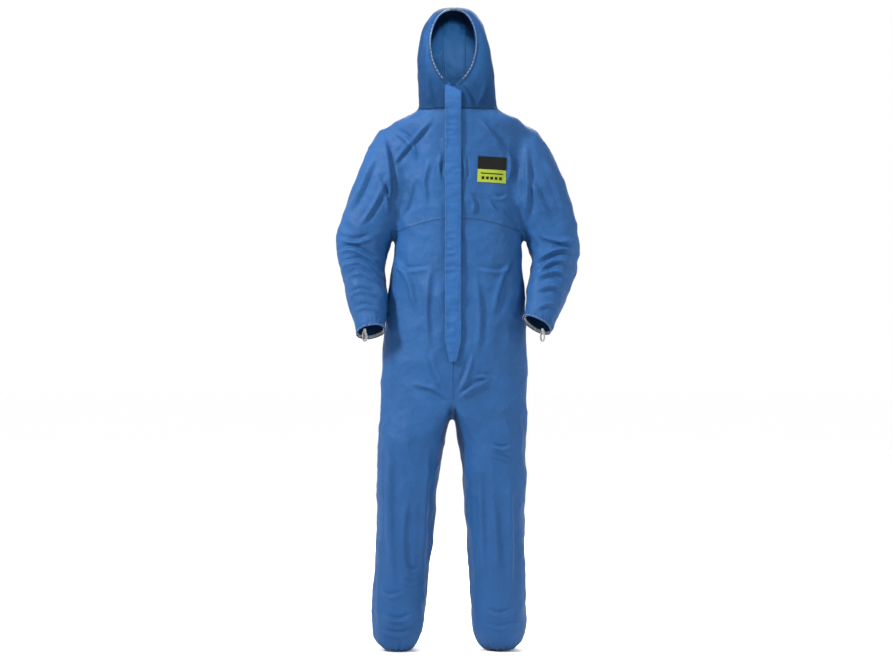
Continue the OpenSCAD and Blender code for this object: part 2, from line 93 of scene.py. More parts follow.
def area_light(name, place, target, size, power, colour=(1, 1, 1)):
    light = bpy.data.objects.new(name, bpy.data.lights.new(name, "AREA"))
    light.data.shape = "RECTANGLE"
    light.data.size, light.data.size_y = size
    light.data.energy = power
    light.data.color = colour
    light.location = place
    aim(light, target)
    scene.collection.objects.link(light)
    return light


key = area_light("key", (-2.9, -2.1, 1.9), (0, 0, -0.32), (0.6, 0.9), 25)
key.data.spread = math.radians(50)
area_light("fill", (3.0, -2.4, 0.9), (0, 0, -0.4), (0.7, 1.6), 55)
area_light("top", (0.2, -0.5, 2.7), (0, 0, -0.4), (1.2, 0.9), 38)
area_light("back", (0.5, 3.4, 1.8), (0, 0, -0.5), (2.0, 1.6), 150)
into_hood = area_light("into_hood", (0.0, -2.6, 0.42), (0.0, 0.05, 0.20), (0.2, 0.2), 0.6)
into_hood.data.spread = math.radians(6)
world = bpy.data.worlds.new("studio")
scene.world = world
world.use_nodes = True
world.node_tree.nodes["Background"].inputs[0].default_value = (1, 1, 1, 1)
world.node_tree.nodes["Background"].inputs[1].default_value = 1.0
scene.view_settings.view_transform = "Standard"

# ---------------------------------------------------------------- the suit's surface, in millimetres above the leg ends

TORSO_RINGS = [
    [705, 5, 205, 116], [760, 6, 204, 121], [820, 7, 203, 121], [900, 10, 198, 110],
    [960, 12, 193, 101], [1020, 14, 187, 97], [1080, 16, 180, 100], [1140, 17, 175, 106],
    [1200, 18, 176, 112], [1260, 18, 178, 116], [1320, 19, 181, 117], [1380, 20, 184, 113],
    [1440, 20, 187, 104], [1458, 20, 185, 98], [1474, 20, 174, 90], [1487, 19, 144, 81], [1500, 18, 109, 72],
]
SLEEVE_RINGS = {-1: [
    [-152, 1165, -204, 1452, 86, 0, 0], [-157, 1163, -236, 1397, 87, 0, 0],
    [-161, 1160, -264, 1332, 84, 0, 0], [-165, 1156, -290, 1255, 80, 0, 0],
    [-169, 1149, -309, 1206, 77, 0, 0], [-173, 1138, -322, 1166, 75, 0, 2],
    [-181, 1108, -325, 1136, 74, -2, 8], [-187, 1075, -321, 1098, 72, -9, 15],
    [-187, 1042, -313, 1062, 70, -20, 20], [-183, 1010, -304, 1026, 67, -34, 24],
    [-180, 968, -293, 982, 63, -54, 26], [-180, 932, -281, 940, 56, -74, 26],
    [-184, 906, -270, 905, 48, -90, 26], [-187, 893, -263, 880, 41, -100, 26],
], 1: [
    [181, 1172, 236, 1454, 86, 0, 0], [188, 1169, 270, 1397, 87, 0, 0],
    [193, 1165, 301, 1334, 84, 0, 0], [197, 1160, 330, 1264, 80, 0, 0],
    [202, 1151, 346, 1209, 77, 0, 0], [207, 1139, 354, 1163, 75, 0, 2],
    [215, 1111, 357, 1127, 74, -2, 8], [221, 1081, 353, 1090, 72, -9, 15],
    [217, 1051, 341, 1048, 69, -20, 20], [211, 1021, 327, 1012, 66, -36, 24],
    [206, 985, 311, 972, 61, -56, 26], [201, 955, 298, 931, 54, -76, 26],
    [196, 935, 283, 903, 47, -91, 26], [193, 924, 271, 888, 41, -100, 26],
]}
LEG_RINGS = {-1: [
    [704.4, -102, 99, 116], [655, -107, 99, 112], [605, -113, 96, 108], [560, -117, 92, 105],
    [490, -123, 87, 101], [420, -127, 83, 99], [375, -129, 82, 97], [330, -131, 80, 96],
    [285, -134, 79, 94], [240, -137, 78, 93], [150, -146, 78, 92], [97, -151, 76, 90],
    [52, -153, 71, 84], [24, -152, 61, 74], [9, -151, 50, 62], [1, -151, 38, 48],
], 1: [
    [704.4, 106, 100, 116], [655, 109, 100, 112], [605, 112, 97, 108], [560, 115, 93, 105],
    [490, 118, 89, 101], [420, 119, 85, 99], [375, 120, 83, 97], [330, 121, 81, 96],
    [285, 123, 80, 94], [240, 124, 79, 93], [150, 128, 78, 92], [97, 131, 76, 90],
    [52, 132, 72, 84], [24, 131, 63, 74], [9, 130, 52, 62], [1, 130, 40, 48],
]}
HOOD_ARCHES = [
    [0, 95], [18, 100], [36, 117], [48, 143], [59, 176], [69, 235], [77, 283], [90, 292],
    [104, 293], [116, 279], [130, 237], [142, 192], [156, 147], [168, 112], [180, 95],
]
NECK_H = 1500
FRONT_Y = -118
ZIP_X = 3
HOOD_HALF_W, HOOD_Y = 108, -23


def between(rows, x):
    """The table's rows at x, which may be an array, on a curve that doesn't overshoot them."""
    rows = np.array(rows, float)
    if rows[0, 0] > rows[-1, 0]:
        rows = rows[::-1]
    t = rows[:, 0]
    step = np.diff(t)
    d = np.diff(rows, axis=0) / step[:, None]
    slope = np.zeros_like(rows)
    slope[0], slope[-1] = d[0], d[-1]
    same = d[:-1] * d[1:] > 0
    slope[1:-1] = np.where(same, 2 * d[:-1] * d[1:] / np.where(same, d[:-1] + d[1:], 1), 0)
    x = np.asarray(x, float)
    i = np.clip(np.searchsorted(t, x) - 1, 0, len(t) - 2)
    h, s = step[i], np.clip((x - t[i]) / step[i], 0, 1)
    h, s = h[..., None], s[..., None]
    a, b = (1 + 2 * s) * (1 - s) ** 2, s * s * (3 - 2 * s)
    return a * rows[i] + b * rows[i + 1] + h * (s * (1 - s) ** 2 * slope[i] + s * s * (s - 1) * slope[i + 1])


def smoothstep(x):
    x = np.clip(x, 0, 1)
    return x * x * (3 - 2 * x)


def sgn_pow(x, p):
    return np.sign(x) * np.abs(x) ** p


def torso_ring(h, deg):
    r = between(TORSO_RINGS, h)
    a, p = np.radians(deg), 2 / 2.3
    mid, half = (FRONT_Y + r[3]) / 2, (r[3] - FRONT_Y) / 2
    return np.stack([r[1] + r[2] * sgn_pow(np.cos(a), p), mid + half * sgn_pow(np.sin(a), p),
                     np.full_like(a, h - NECK_H)], -1)


def hood_point(lean, u):
    reach = between(HOOD_ARCHES, lean)[1]
    k, a = math.radians(lean), np.radians(u)
    p = 2 / (2.3 + 0.7 * math.sin(k))
    r = reach * np.abs(np.sin(a)) ** p
    x = 18 - 11 * np.clip(r * math.sin(k) / 150, 0, 1)
    return np.stack([x + HOOD_HALF_W * sgn_pow(np.cos(a), p), HOOD_Y - r * math.cos(k), r * math.sin(k)], -1)


def arm_shift(t):
    """How far a sleeve is held off the hip while the surfaces are joined."""
    return 32 * smoothstep((np.asarray(t) - 4.5) / 3.5)


def sleeve_ring(side, t, n, shift=0.0):
    rows = [[i] + r for i, r in enumerate(SLEEVE_RINGS[side])]
    _, x0, h0, x1, h1, depth, y, tilt = between(rows, t)
    low, high = np.array([x0, y, h0 - NECK_H]), np.array([x1, y, h1 - NECK_H])
    a, k = np.radians(np.arange(n) * 360 / n), math.radians(tilt)
    u = (high - low) / np.linalg.norm(high - low)
    v = np.array([0, -math.cos(k), math.sin(k)])
    ring = ((low + high) / 2 + np.outer(sgn_pow(np.cos(a), 2 / 2.2), u) * np.linalg.norm(high - low) / 2
            + np.outer(sgn_pow(np.sin(a), 2 / 2.2), v) * depth)
    return ring + [side * shift, 0, 0]


def crotch_edges():
    deg = np.arange(180, 360, 0.25)
    x = torso_ring(705, deg)[:, 0]
    return {-1: deg[x < ZIP_X - 2][-1], 1: deg[x > ZIP_X + 2][0]}


CROTCH_EDGES = crotch_edges()


def leg_ring(side, h, n):
    _, x, half, depth = between(LEG_RINGS[side], min(h, 704.4))
    t = np.arange(n) * 360 / n
    a = np.radians(t)
    own = np.stack([x + side * half * sgn_pow(np.cos(a), 2 / 2.3), -depth * sgn_pow(np.sin(a), 2 / 2.3)], -1)
    edge, out = CROTCH_EDGES[side], 360 if side > 0 else 180
    deg = np.where(t <= 120, out + (edge - out) * t / 120, 360 - (out + (edge - out) * (360 - t) / 120))
    top = torso_ring(705, deg)[:, :2]
    f, g = torso_ring(705, np.array([edge, 360 - edge]))[:, :2]
    inner = (t > 120) & (t < 240)
    top[inner] = f + (g - f) * ((t[inner] - 120) / 120)[:, None]
    w = smoothstep((705 - h) / 130)
    xy = top * (1 - w) + own * w
    if h > 704.5:
        xy = xy.mean(0) + (xy - xy.mean(0)) * 0.97
    return np.column_stack([xy, np.full(n, h - NECK_H)])


def closed_tube(rings):
    """Points and faces of a stack of rings with both ends shut."""
    n, m = len(rings[0]), len(rings)
    points = np.vstack(rings + [rings[0].mean(0)[None], rings[-1].mean(0)[None]])
    faces = [(j * n + i, j * n + (i + 1) % n, (j + 1) * n + (i + 1) % n, (j + 1) * n + i)
             for j in range(m - 1) for i in range(n)]
    faces += [(m * n, (i + 1) % n, i) for i in range(n)]
    faces += [(m * n + 1, (m - 1) * n + i, (m - 1) * n + (i + 1) % n) for i in range(n)]
    return points, faces


def armhole_ring(side, n, gap):
    t = np.radians(np.arange(n) * 360 / n)
    h, half = 1166 + 304 * (1 + np.cos(t)) / 2, 36 * np.sin(t)
    deg = 180 + half if side < 0 else -half
    return np.array([torso_ring(a, np.array([b]))[0] + [side * gap, 0, 0] for a, b in zip(h, deg)])


SLEEVE_STEPS = np.arange(0, 13.01, 0.25)


def suit_parts():
    """The closed volumes that the suit is the union of."""
    parts = {}
    around = np.arange(0, 360, 3)
    parts["torso"] = closed_tube([torso_ring(h, around) for h in np.append(np.arange(700, 1500, 10), 1500)])
    for side, name in ((-1, "right"), (1, "left")):
        rings = [armhole_ring(side, 60, -30), armhole_ring(side, 60, 0)]
        rings += [sleeve_ring(side, t, 60, arm_shift(t)) for t in SLEEVE_STEPS]
        rings += [rings[-1] + (rings[-1] - rings[-3]).mean(0) * k for k in (0.7, 1.4)]
        parts["sleeve_" + name] = closed_tube(rings)
        heights = [726, 704.4] + list(np.arange(695, 60, -10)) + list(np.arange(58, 2, -4)) + [1]
        parts["leg_" + name] = closed_tube([leg_ring(side, h, 72) for h in heights])
    u = np.arange(0, 181, 3.0)
    rows = [hood_point(lean, u) for lean in np.arange(0, 181, 3.0)]
    drop = np.array([0, 0, -20])
    rows = [rows[0] + drop] + rows + [rows[-1] + drop]
    n, m = len(u), len(rows)
    faces = [(j * n + i, j * n + i + 1, (j + 1) * n + i + 1, (j + 1) * n + i)
             for j in range(m - 1) for i in range(n - 1)]
    faces += [(i, (m - 1) * n + i, (m - 1) * n + i + 1, i + 1) for i in range(n - 1)]
    faces += [(j * n + k, (j + 1) * n + k, k) if k == 0 else (k, (j + 1) * n + k, j * n + k)
              for k in (0, n - 1) for j in range(1, m - 1)]
    parts["hood"] = (np.vstack(rows), faces)
    return parts


def mesh_of(name, points, faces):
    mesh = bpy.data.meshes.new(name)
    mesh.from_pydata([tuple(p) for p in points], [], [tuple(int(i) for i in f) for f in faces])
    mesh.validate()
    return mesh


def object_of(name, mesh):
    obj = bpy.data.objects.new(name, mesh)
    scene.collection.objects.link(obj)
    return obj


def coords(mesh):
    co = np.empty(len(mesh.vertices) * 3, np.float32)
    mesh.vertices.foreach_get("co", co)
    return co.reshape(-1, 3).astype(float)


def set_coords(mesh, co):
    mesh.vertices.foreach_set("co", np.asarray(co, np.float32).ravel())
    mesh.update()


def edges_of(mesh):
    e = np.empty(len(mesh.edges) * 2, np.int32)
    mesh.edges.foreach_get("vertices", e)
    return e.reshape(-1, 2)


def normals_of(mesh):
    n = np.empty(len(mesh.vertices) * 3, np.float32)
    mesh.vertex_normals.foreach_get("vector", n)
    return n.reshape(-1, 3).astype(float)


def averaged(values, edges, count):
    """Each point's neighbours' mean, for one round of smoothing."""
    out = np.empty_like(values)
    for k in range(values.shape[1]):
        out[:, k] = (np.bincount(edges[:, 0], values[edges[:, 1], k], len(values))
                     + np.bincount(edges[:, 1], values[edges[:, 0], k], len(values)))
    return out / count[:, None]


def smoothed(values, edges, rounds, step=0.5, back=-0.52, weight=None):
    count = np.maximum(np.bincount(edges.ravel(), minlength=len(values)), 1)
    w = 1 if weight is None else weight[:, None]
    for _ in range(rounds):
        values = values + w * step * (averaged(values, edges, count) - values)
        if back:
            values = values + w * back * (averaged(values, edges, count) - values)
    return values


def baked(obj):
    """The object's mesh with its modifiers applied."""
    bpy.context.view_layer.update()
    mesh = bpy.data.meshes.new_from_object(obj.evaluated_get(bpy.context.evaluated_depsgraph_get()))
    obj.modifiers.clear()
    obj.data = mesh
    return mesh


VOXEL = 0.0070
points, faces = [], []
for name, (p, f) in suit_parts().items():
    base = sum(len(q) for q in points)
    mesh = mesh_of(name, p * MM, f)
    bm = bmesh.new()
    bm.from_mesh(mesh)
    bmesh.ops.remove_doubles(bm, verts=bm.verts, dist=1e-5)
    bmesh.ops.recalc_face_normals(bm, faces=bm.faces)
    bm.to_mesh(mesh)
    bm.free()
    points.append(coords(mesh))
    faces += [[base + i for i in q.vertices] for q in mesh.polygons]
suit = object_of("suit", mesh_of("suit", np.vstack(points), faces))
remesh = suit.modifiers.new("remesh", "REMESH")
remesh.mode = "VOXEL"
remesh.voxel_size = VOXEL
mesh = baked(suit)
edges = edges_of(mesh)
co = smoothed(coords(mesh), edges, 5)


def sleeve_side(co):
    """-1 or 1 for points on the right or left sleeve below its armpit, 0 elsewhere."""
    h, out = co[:, 2] * 1000 + NECK_H, np.zeros(len(co))
    torso = between(TORSO_RINGS, np.clip(h, 705, 1500))
    for side in (-1, 1):
        rows = np.array([[r[1], r[0]] for r in SLEEVE_RINGS[side]])[::-1]
        inner = np.interp(h, rows[:, 0], rows[:, 1] + side * arm_shift(np.arange(13, -1, -1)))
        middle = (inner + torso[:, 1] + side * torso[:, 2]) / 2
        out[(h > 820) & ((co[:, 0] * 1000 - middle) * side > 0) & (h < 1400)] = side
    return out


arm = sleeve_side(co)
tree_points, tree_steps = [], []
for side in (-1, 1):
    for t in SLEEVE_STEPS:
        tree_points.append(sleeve_ring(side, t, 60, arm_shift(t)) * MM)
        tree_steps += [t] * 60
tree_points = np.vstack(tree_points)
tree = KDTree(len(tree_points))
for i, p in enumerate(tree_points):
    tree.insert(p, i)
tree.balance()
sleeve_t = np.zeros(len(co))
for i in np.nonzero(arm)[0]:
    sleeve_t[i] = tree_steps[tree.find(co[i])[1]]
sleeve_t = smoothed(sleeve_t[:, None], edges, 8, back=0)[:, 0]
co[:, 0] -= arm * arm_shift(sleeve_t) * MM

# the joins at the shoulders, armpits, crotch and neck are eased
ease = np.zeros(len(co))
for side in (-1, 1):
    ring = armhole_ring(side, 40, 0) * MM
    for p in ring:
        ease = np.maximum(ease, 1 - np.clip((np.linalg.norm(co - p, axis=1) - 0.012) / 0.03, 0, 1))
ease = np.maximum(ease, 1 - np.clip(np.abs(co[:, 2] + 0.798) / 0.03, 0, 1))
ease = np.maximum(ease, 1 - np.clip(np.abs(co[:, 2]) / 0.022, 0, 1))
co = smoothed(co, edges, 14, back=0, weight=ease)
co = smoothed(co, edges, 3)
set_coords(mesh, co)

# ---------------------------------------------------------------- openings

def face_curve(step=1.0):
    """The edge of the face opening in x and z, from the chin up the left side and down the right, in metres."""
    table = np.array([[66, 0.5], [69, 4], [74, 12], [82, 22], [92, 31], [105, 40], [122, 48.5], [142, 55], [165, 59.5],
                      [188, 61], [208, 59.5], [226, 55.5], [242, 49], [256, 40.5], [266, 31], [273, 20.5],
                      [277, 9], [278, 0.5]])
    z = table[:, 0]
    side = np.column_stack([ZIP_X + table[:, 1], z])
    other = np.column_stack([ZIP_X - table[:, 1], z])[::-1]
    loop = np.vstack([side, other])
    length = np.append(0, np.cumsum(np.linalg.norm(np.diff(np.vstack([loop, loop[:1]]), axis=0), axis=1)))
    at = np.arange(0, length[-1], step)
    closed = np.vstack([loop, loop[:1]])
    out = np.column_stack([np.interp(at, length, closed[:, k]) for k in (0, 1)])
    for _ in range(int(6 / step)):
        out = (np.roll(out, 1, 0) + 2 * out + np.roll(out, -1, 0)) / 4
    return out * MM


FACE = face_curve()


def inside_face(x, z):
    """Signed distance to the face opening's edge, positive inside it, and the nearest point on the edge."""
    d = np.full(len(x), 1e9)
    near = np.zeros((len(x), 2))
    p = np.column_stack([x, z])
    for q in FACE:
        r = np.hypot(*(p - q).T)
        closer = r < d
        d[closer], near[closer] = r[closer], q
    a, b = FACE, np.roll(FACE, -1, 0)
    odd = np.zeros(len(x), bool)
    for (x0, z0), (x1, z1) in zip(a, b):
        if z0 != z1:
            odd ^= ((z0 > z) != (z1 > z)) & (x < (x1 - x0) * (z - z0) / (z1 - z0) + x0)
    return np.where(odd, d, -d), near


SLOT_X = (-0.003, 0.009)
SLOT_LOW = -0.685
cuff_planes = {}
for side in (-1, 1):
    last, before = (sleeve_ring(side, t, 60) * MM for t in (13, 12))
    axis = last.mean(0) - before.mean(0)
    normal = np.cross(last[15] - last[0], last[30] - last[0])
    normal /= np.linalg.norm(normal)
    cuff_planes[side] = (last.mean(0), normal if normal @ axis > 0 else -normal)
ANKLE_Z = -1.4962


def cuts(co, arm):
    """For each point, how far it is into the opening that it is deepest in, and where the opening's edge is nearest."""
    depth, onto = np.full(len(co), -1.0), co.copy()

    def add(mask, d, target):
        better = mask & (d > depth)
        depth[better], onto[better] = d[better], target[better]

    front = (co[:, 1] < -0.02) & (co[:, 2] > 0.03)
    d, near = np.full(len(co), -1.0), np.zeros((len(co), 2))
    d[front], near[front] = inside_face(co[front, 0], co[front, 2])
    add(front, d, np.column_stack([near[:, 0], co[:, 1], near[:, 1]]))
    zone = (co[:, 1] < -0.05) & (co[:, 2] < 0.08)
    dx = np.minimum(co[:, 0] - SLOT_X[0], SLOT_X[1] - co[:, 0])
    dz = np.minimum(co[:, 2] - SLOT_LOW, 0.075 - co[:, 2])
    edge = np.where(co[:, 0] < sum(SLOT_X) / 2, *SLOT_X)
    side_on = dx < dz
    target = np.column_stack([np.where(side_on, edge, co[:, 0]), co[:, 1], np.where(side_on, co[:, 2], SLOT_LOW)])
    add(zone, np.minimum(dx, dz), target)
    for side, (c, n) in cuff_planes.items():
        d = (co - c) @ n
        add(arm == side, d, co - np.outer(d, n))
    d = ANKLE_Z - co[:, 2]
    add(co[:, 2] < -1.4, d, np.column_stack([co[:, :2], np.full(len(co), ANKLE_Z)]))
    return depth, onto


bm = bmesh.new()
bm.from_mesh(mesh)
arm_layer = bm.verts.layers.float.new("arm")
for v, a in zip(bm.verts, arm):
    v[arm_layer] = a
centres = np.array([f.calc_center_median() for f in bm.faces])
face_arm = np.array([round(sum(v[arm_layer] for v in f.verts) / len(f.verts)) for f in bm.faces])
depth, _ = cuts(centres, face_arm)
bmesh.ops.delete(bm, geom=[f for f, d in zip(list(bm.faces), depth) if d > 0], context="FACES")
rim = [v for v in bm.verts if v.is_boundary]
_, onto = cuts(np.array([v.co for v in rim]), np.array([v[arm_layer] for v in rim]))
for v, p in zip(rim, onto):
    v.co = p
bm.verts.ensure_lookup_table()
rim = [v.index for v in bm.verts if v.is_boundary]
bm.to_mesh(mesh)
bm.free()
edges = edges_of(mesh)
free = np.ones(len(mesh.vertices))
free[rim] = 0
near_rim = smoothed(1 - free[:, None], edges, 3, back=0)[:, 0] > 0.02
set_coords(mesh, smoothed(coords(mesh), edges, 4, back=0, weight=free * near_rim))

subdivide = suit.modifiers.new("subdivide", "SUBSURF")
subdivide.levels = subdivide.render_levels = 1
mesh = baked(suit)
edges = edges_of(mesh)
co = coords(mesh)
arm = np.empty(len(co), np.float32)
mesh.attributes["arm"].data.foreach_get("value", arm)
arm = np.round(arm).astype(float)

# ---------------------------------------------------------------- folds


def noise(p, seed):
    """Smooth noise between -1 and 1 at each point."""
    whole = np.floor(p).astype(np.int64)
    f = smoothstep(p - whole)
    total = 0
    for k in range(8):
        corner = [(k >> j) & 1 for j in range(3)]
        x, y, z = (whole[:, j] + corner[j] for j in range(3))
        n = (x * 374761393 + y * 668265263 + z * 1440662683 + seed * 974711) & 0xFFFFFFFF
        n = ((n ^ (n >> 13)) * 1274126177) & 0xFFFFFFFF
        w = np.prod([f[:, j] if corner[j] else 1 - f[:, j] for j in range(3)], axis=0)
        total = total + w * (((n ^ (n >> 16)) & 0xFFFF) / 32767.5 - 1)
    return total


def cells(p, seed):
    """Squared distance to the nearest of many scattered points: hollows that meet in creases."""
    whole = np.floor(p).astype(np.int64)
    best = np.full(len(p), 9.0)
    for k in range(27):
        q = whole + [k % 3 - 1, k // 3 % 3 - 1, k // 9 - 1]
        d = 0
        for j in range(3):
            n = (q[:, 0] * 374761393 + q[:, 1] * 668265263 + q[:, 2] * 1440662683 + (seed + j) * 974711) & 0xFFFFFFFF
            n = ((n ^ (n >> 13)) * 1274126177) & 0xFFFFFFFF
            d = d + (q[:, j] + ((n ^ (n >> 16)) & 0xFFFF) / 65535 - p[:, j]) ** 2
        best = np.minimum(best, d)
    return best


def stroke(heights, flat, mask, line, width, rise):
    """A fold along a line: a ridge with a shallower valley on one side, fading out at both ends."""
    line = np.array(line, float)
    near = mask & (flat[:, 0] > line[:, 0].min() - 5 * width) & (flat[:, 0] < line[:, 0].max() + 5 * width)
    near &= (flat[:, 1] > line[:, 1].min() - 5 * width) & (flat[:, 1] < line[:, 1].max() + 5 * width)
    at = np.nonzero(near)[0]
    p = flat[at]
    fine = np.linspace(0, 1, 25)
    knots = np.linspace(0, 1, len(line))
    curve = between(np.column_stack([knots, line]), fine)[:, 1:]
    length = np.append(0, np.cumsum(np.linalg.norm(np.diff(curve, axis=0), axis=1)))
    best, signed, along = np.full(len(p), 1e9), np.zeros(len(p)), np.zeros(len(p))
    for a, b, s in zip(curve[:-1], curve[1:], length[:-1]):
        d = b - a
        size = np.linalg.norm(d)
        t = np.clip((p - a) @ d / size**2, 0, 1)
        r = p - a - t[:, None] * d
        dist = np.hypot(*r.T)
        closer = dist < best
        best[closer] = dist[closer]
        signed[closer] = (dist * np.sign(d[0] * r[:, 1] - d[1] * r[:, 0]))[closer]
        along[closer] = (s + t * size)[closer] / length[-1]
    fade = smoothstep(along / 0.35) * smoothstep((1 - along) / 0.35)
    shape = np.exp(-(signed / width) ** 2) - 0.6 * np.exp(-((signed - 1.8 * width) / (1.2 * width)) ** 2)
    heights[at] += rise * fade * shape


rest = co.copy()
normal = normals_of(mesh)
mm = co * 1000
flat = mm[:, [0, 2]]
front = normal[:, 1] < -0.12
back = normal[:, 1] > 0.12
FRONT_FOLDS = [
    ([(-50, -20), (-95, -70), (-140, -120), (-172, -158)], 7, 4.5),
    ([(-168, -55), (-130, -78), (-105, -110), (-98, -152)], 6, 4),
    ([(-30, -118), (-35, -160), (-31, -202)], 5, 3), ([(30, -120), (35, -170), (32, -206)], 5, 3),
    ([(-192, -58), (-178, -140), (-172, -220), (-176, -292)], 9, 5), ([(-207, -178), (-187, -230), (-172, -297)], 7, 4),
    ([(-58, -130), (-76, -200), (-70, -272)], 8, 3), ([(-108, -188), (-120, -250), (-142, -302)], 7, 3),
    ([(70, -20), (110, -70), (150, -132)], 7, 4.5), ([(152, -98), (160, -150), (150, -212)], 6, 4.5),
    ([(108, -240), (130, -247), (157, -235)], 6, 3), ([(205, -78), (208, -200), (200, -332)], 9, 5),
    ([(94, -246), (120, -280), (172, -312)], 7, 3.5),
    ([(40, -230), (61, -262), (55, -297)], 6, 3),
    ([(-320, -350), (-270, -366), (-214, -350)], 7, 5), ([(-326, -395), (-280, -385), (-230, -410), (-192, -442)], 7, 6),
    ([(-312, -432), (-260, -420), (-204, -456)], 7, 5), ([(-302, -470), (-255, -452), (-198, -482)], 7, 5),
    ([(-287, -520), (-250, -502), (-203, -516)], 6, 4), ([(-274, -556), (-240, -545), (-200, -560)], 6, 3),
    ([(346, -350), (300, -363), (240, -345)], 7, 5), ([(352, -392), (305, -382), (250, -406), (220, -434)], 7, 6),
    ([(337, -426), (290, -415), (230, -446)], 7, 5), ([(327, -462), (280, -446), (223, -471)], 7, 5),
    ([(312, -506), (275, -487), (226, -501)], 6, 4), ([(300, -548), (268, -536), (225, -550)], 6, 3),
    ([(-213, -118), (-245, -200), (-292, -292)], 9, 4.5), ([(250, -118), (285, -210), (322, -302)], 9, 4.5),
    ([(-170, -170), (-215, -260), (-262, -330)], 8, 3.5), ([(210, -170), (245, -255), (285, -325)], 8, 3.5),
    ([(20, 72), (42, 40), (60, 0)], 5, 3.5), ([(96, 92), (86, 50), (70, 8)], 6, 3.5),
    ([(-72, 92), (-60, 40), (-40, 4)], 5, 3),
    ([(-172, -400), (-122, -470), (-100, -565)], 10, 3.5), ([(172, -400), (132, -480), (110, -585)], 10, 3.5),
    ([(-60, -420), (-71, -560), (-60, -684)], 10, 3), ([(60, -430), (76, -570), (65, -704)], 10, 3),
    ([(-172, -430), (-120, -446), (-58, -440)], 7, 2.5), ([(60, -440), (120, -449), (176, -432)], 7, 2.5),
    ([(-8, -803), (-52, -770), (-114, -754)], 8, 4), ([(14, -803), (54, -770), (114, -744)], 8, 4),
    ([(60, -740), (86, -737), (113, -742)], 6, 3), ([(-8, -792), (-40, -730), (-62, -658)], 7, 3),
    ([(14, -792), (42, -730), (62, -658)], 7, 3), ([(-172, -880), (-174, -1100), (-165, -1335)], 11, 4.5),
    ([(-60, -900), (-76, -1100), (-85, -1302)], 10, 3.5), ([(-132, -1263), (-106, -1276), (-80, -1270)], 6, 3.5),
    ([(-142, -1299), (-112, -1311), (-88, -1305)], 6, 3.5), ([(-203, -1330), (-170, -1346), (-128, -1335)], 6, 3.5),
    ([(103, -924), (135, -936), (167, -929)], 5, 3.5), ([(98, -949), (130, -960), (167, -974)], 5, 3.5),
    ([(156, -1000), (162, -1180), (165, -1352)], 11, 4.5), ([(74, -950), (81, -1150), (85, -1352)], 10, 3.5),
    ([(88, -1384), (130, -1396), (177, -1380)], 6, 3.5), ([(84, -1420), (130, -1433), (192, -1414)], 6, 3.5),
    ([(-202, -1399), (-150, -1413), (-98, -1395)], 6, 3.5), ([(-207, -1440), (-150, -1452), (-94, -1434)], 6, 3.5),
    ([(-118, -1040), (-135, -1180), (-120, -1330)], 9, 3), ([(118, -1060), (122, -1180), (130, -1300)], 9, 3),
]
BACK_FOLDS = [
    ([(-150, -60), (-95, -150), (-60, -260)], 10, 4), ([(185, -60), (130, -150), (95, -260)], 10, 4),
    ([(-165, -260), (-110, -300), (-50, -310)], 9, 4), ([(200, -260), (145, -300), (85, -310)], 9, 4),
    ([(-20, -60), (-25, -180), (-15, -300)], 10, 3), ([(60, -50), (62, -170), (55, -300)], 10, 3),
    ([(-160, -560), (-110, -660), (-50, -750)], 11, 4), ([(175, -560), (125, -660), (62, -750)], 11, 4),
    ([(-180, -730), (-110, -760), (-30, -800)], 9, 4), ([(185, -730), (115, -760), (36, -800)], 9, 4),
    ([(-320, -360), (-265, -370), (-200, -350)], 8, 5), ([(-318, -410), (-260, -415), (-195, -400)], 8, 5),
    ([(350, -360), (295, -370), (235, -350)], 8, 5), ([(345, -405), (290, -412), (228, -398)], 8, 5),
    ([(-300, -460), (-250, -455), (-195, -470)], 7, 4), ([(325, -455), (275, -450), (222, -465)], 7, 4),
    ([(-200, -1110), (-130, -1125), (-62, -1108)], 8, 4), ([(-205, -1160), (-135, -1170), (-65, -1158)], 8, 4),
    ([(-198, -1210), (-135, -1205), (-70, -1218)], 8, 3.5), ([(190, -1110), (120, -1125), (52, -1108)], 8, 4),
    ([(192, -1160), (125, -1170), (55, -1158)], 8, 4), ([(190, -1210), (125, -1205), (58, -1218)], 8, 3.5),
    ([(-170, -900), (-150, -1000), (-160, -1080)], 10, 4), ([(165, -900), (145, -1000), (150, -1080)], 10, 4),
    ([(-160, -1280), (-170, -1370), (-160, -1450)], 10, 4), ([(120, -1280), (130, -1370), (125, -1450)], 10, 4),
    ([(-60, 110), (-20, 60), (-10, 10)], 8, 3.5), ([(85, 110), (50, 60), (40, 10)], 8, 3.5),
]
heights = np.zeros(len(mm))
for line, width, rise in FRONT_FOLDS:
    stroke(heights, flat, front, line, 0.8 * width, 2.1 * rise)
for line, width, rise in BACK_FOLDS:
    stroke(heights, flat, back, line, 0.85 * width, 1.9 * rise)
z = co[:, 2]
leg = smoothstep((-0.78 - z) / 0.08)
sleeve = np.abs(arm)
hood = smoothstep(z / 0.03)
elbow = sleeve * np.exp(-((z + 0.42) / 0.085) ** 2)
turn = np.array([[0.8, 0.0, 0.6], [0.0, 1.0, 0.0], [-0.6, 0.0, 0.8]])
long_folds = 1 - 2 * np.abs(noise(mm / [46, 46, 210] + 3.1, 5))
cross = 1 - 2 * np.abs(noise(mm @ turn / [120, 60, 34] + 7.7, 11))
slant = 1 - 2 * np.abs(noise(mm @ turn.T / [38, 50, 130] + 1.3, 23))
soft = noise(mm / 75, 31)
small = noise(mm / [16, 16, 24], 41)
body = (1 - leg) * (1 - sleeve) * (1 - hood)
creases = cells(mm @ turn / [78, 78, 62], 51) * 4.5 + cells(mm @ turn.T / [40, 40, 34], 67) * 1.6
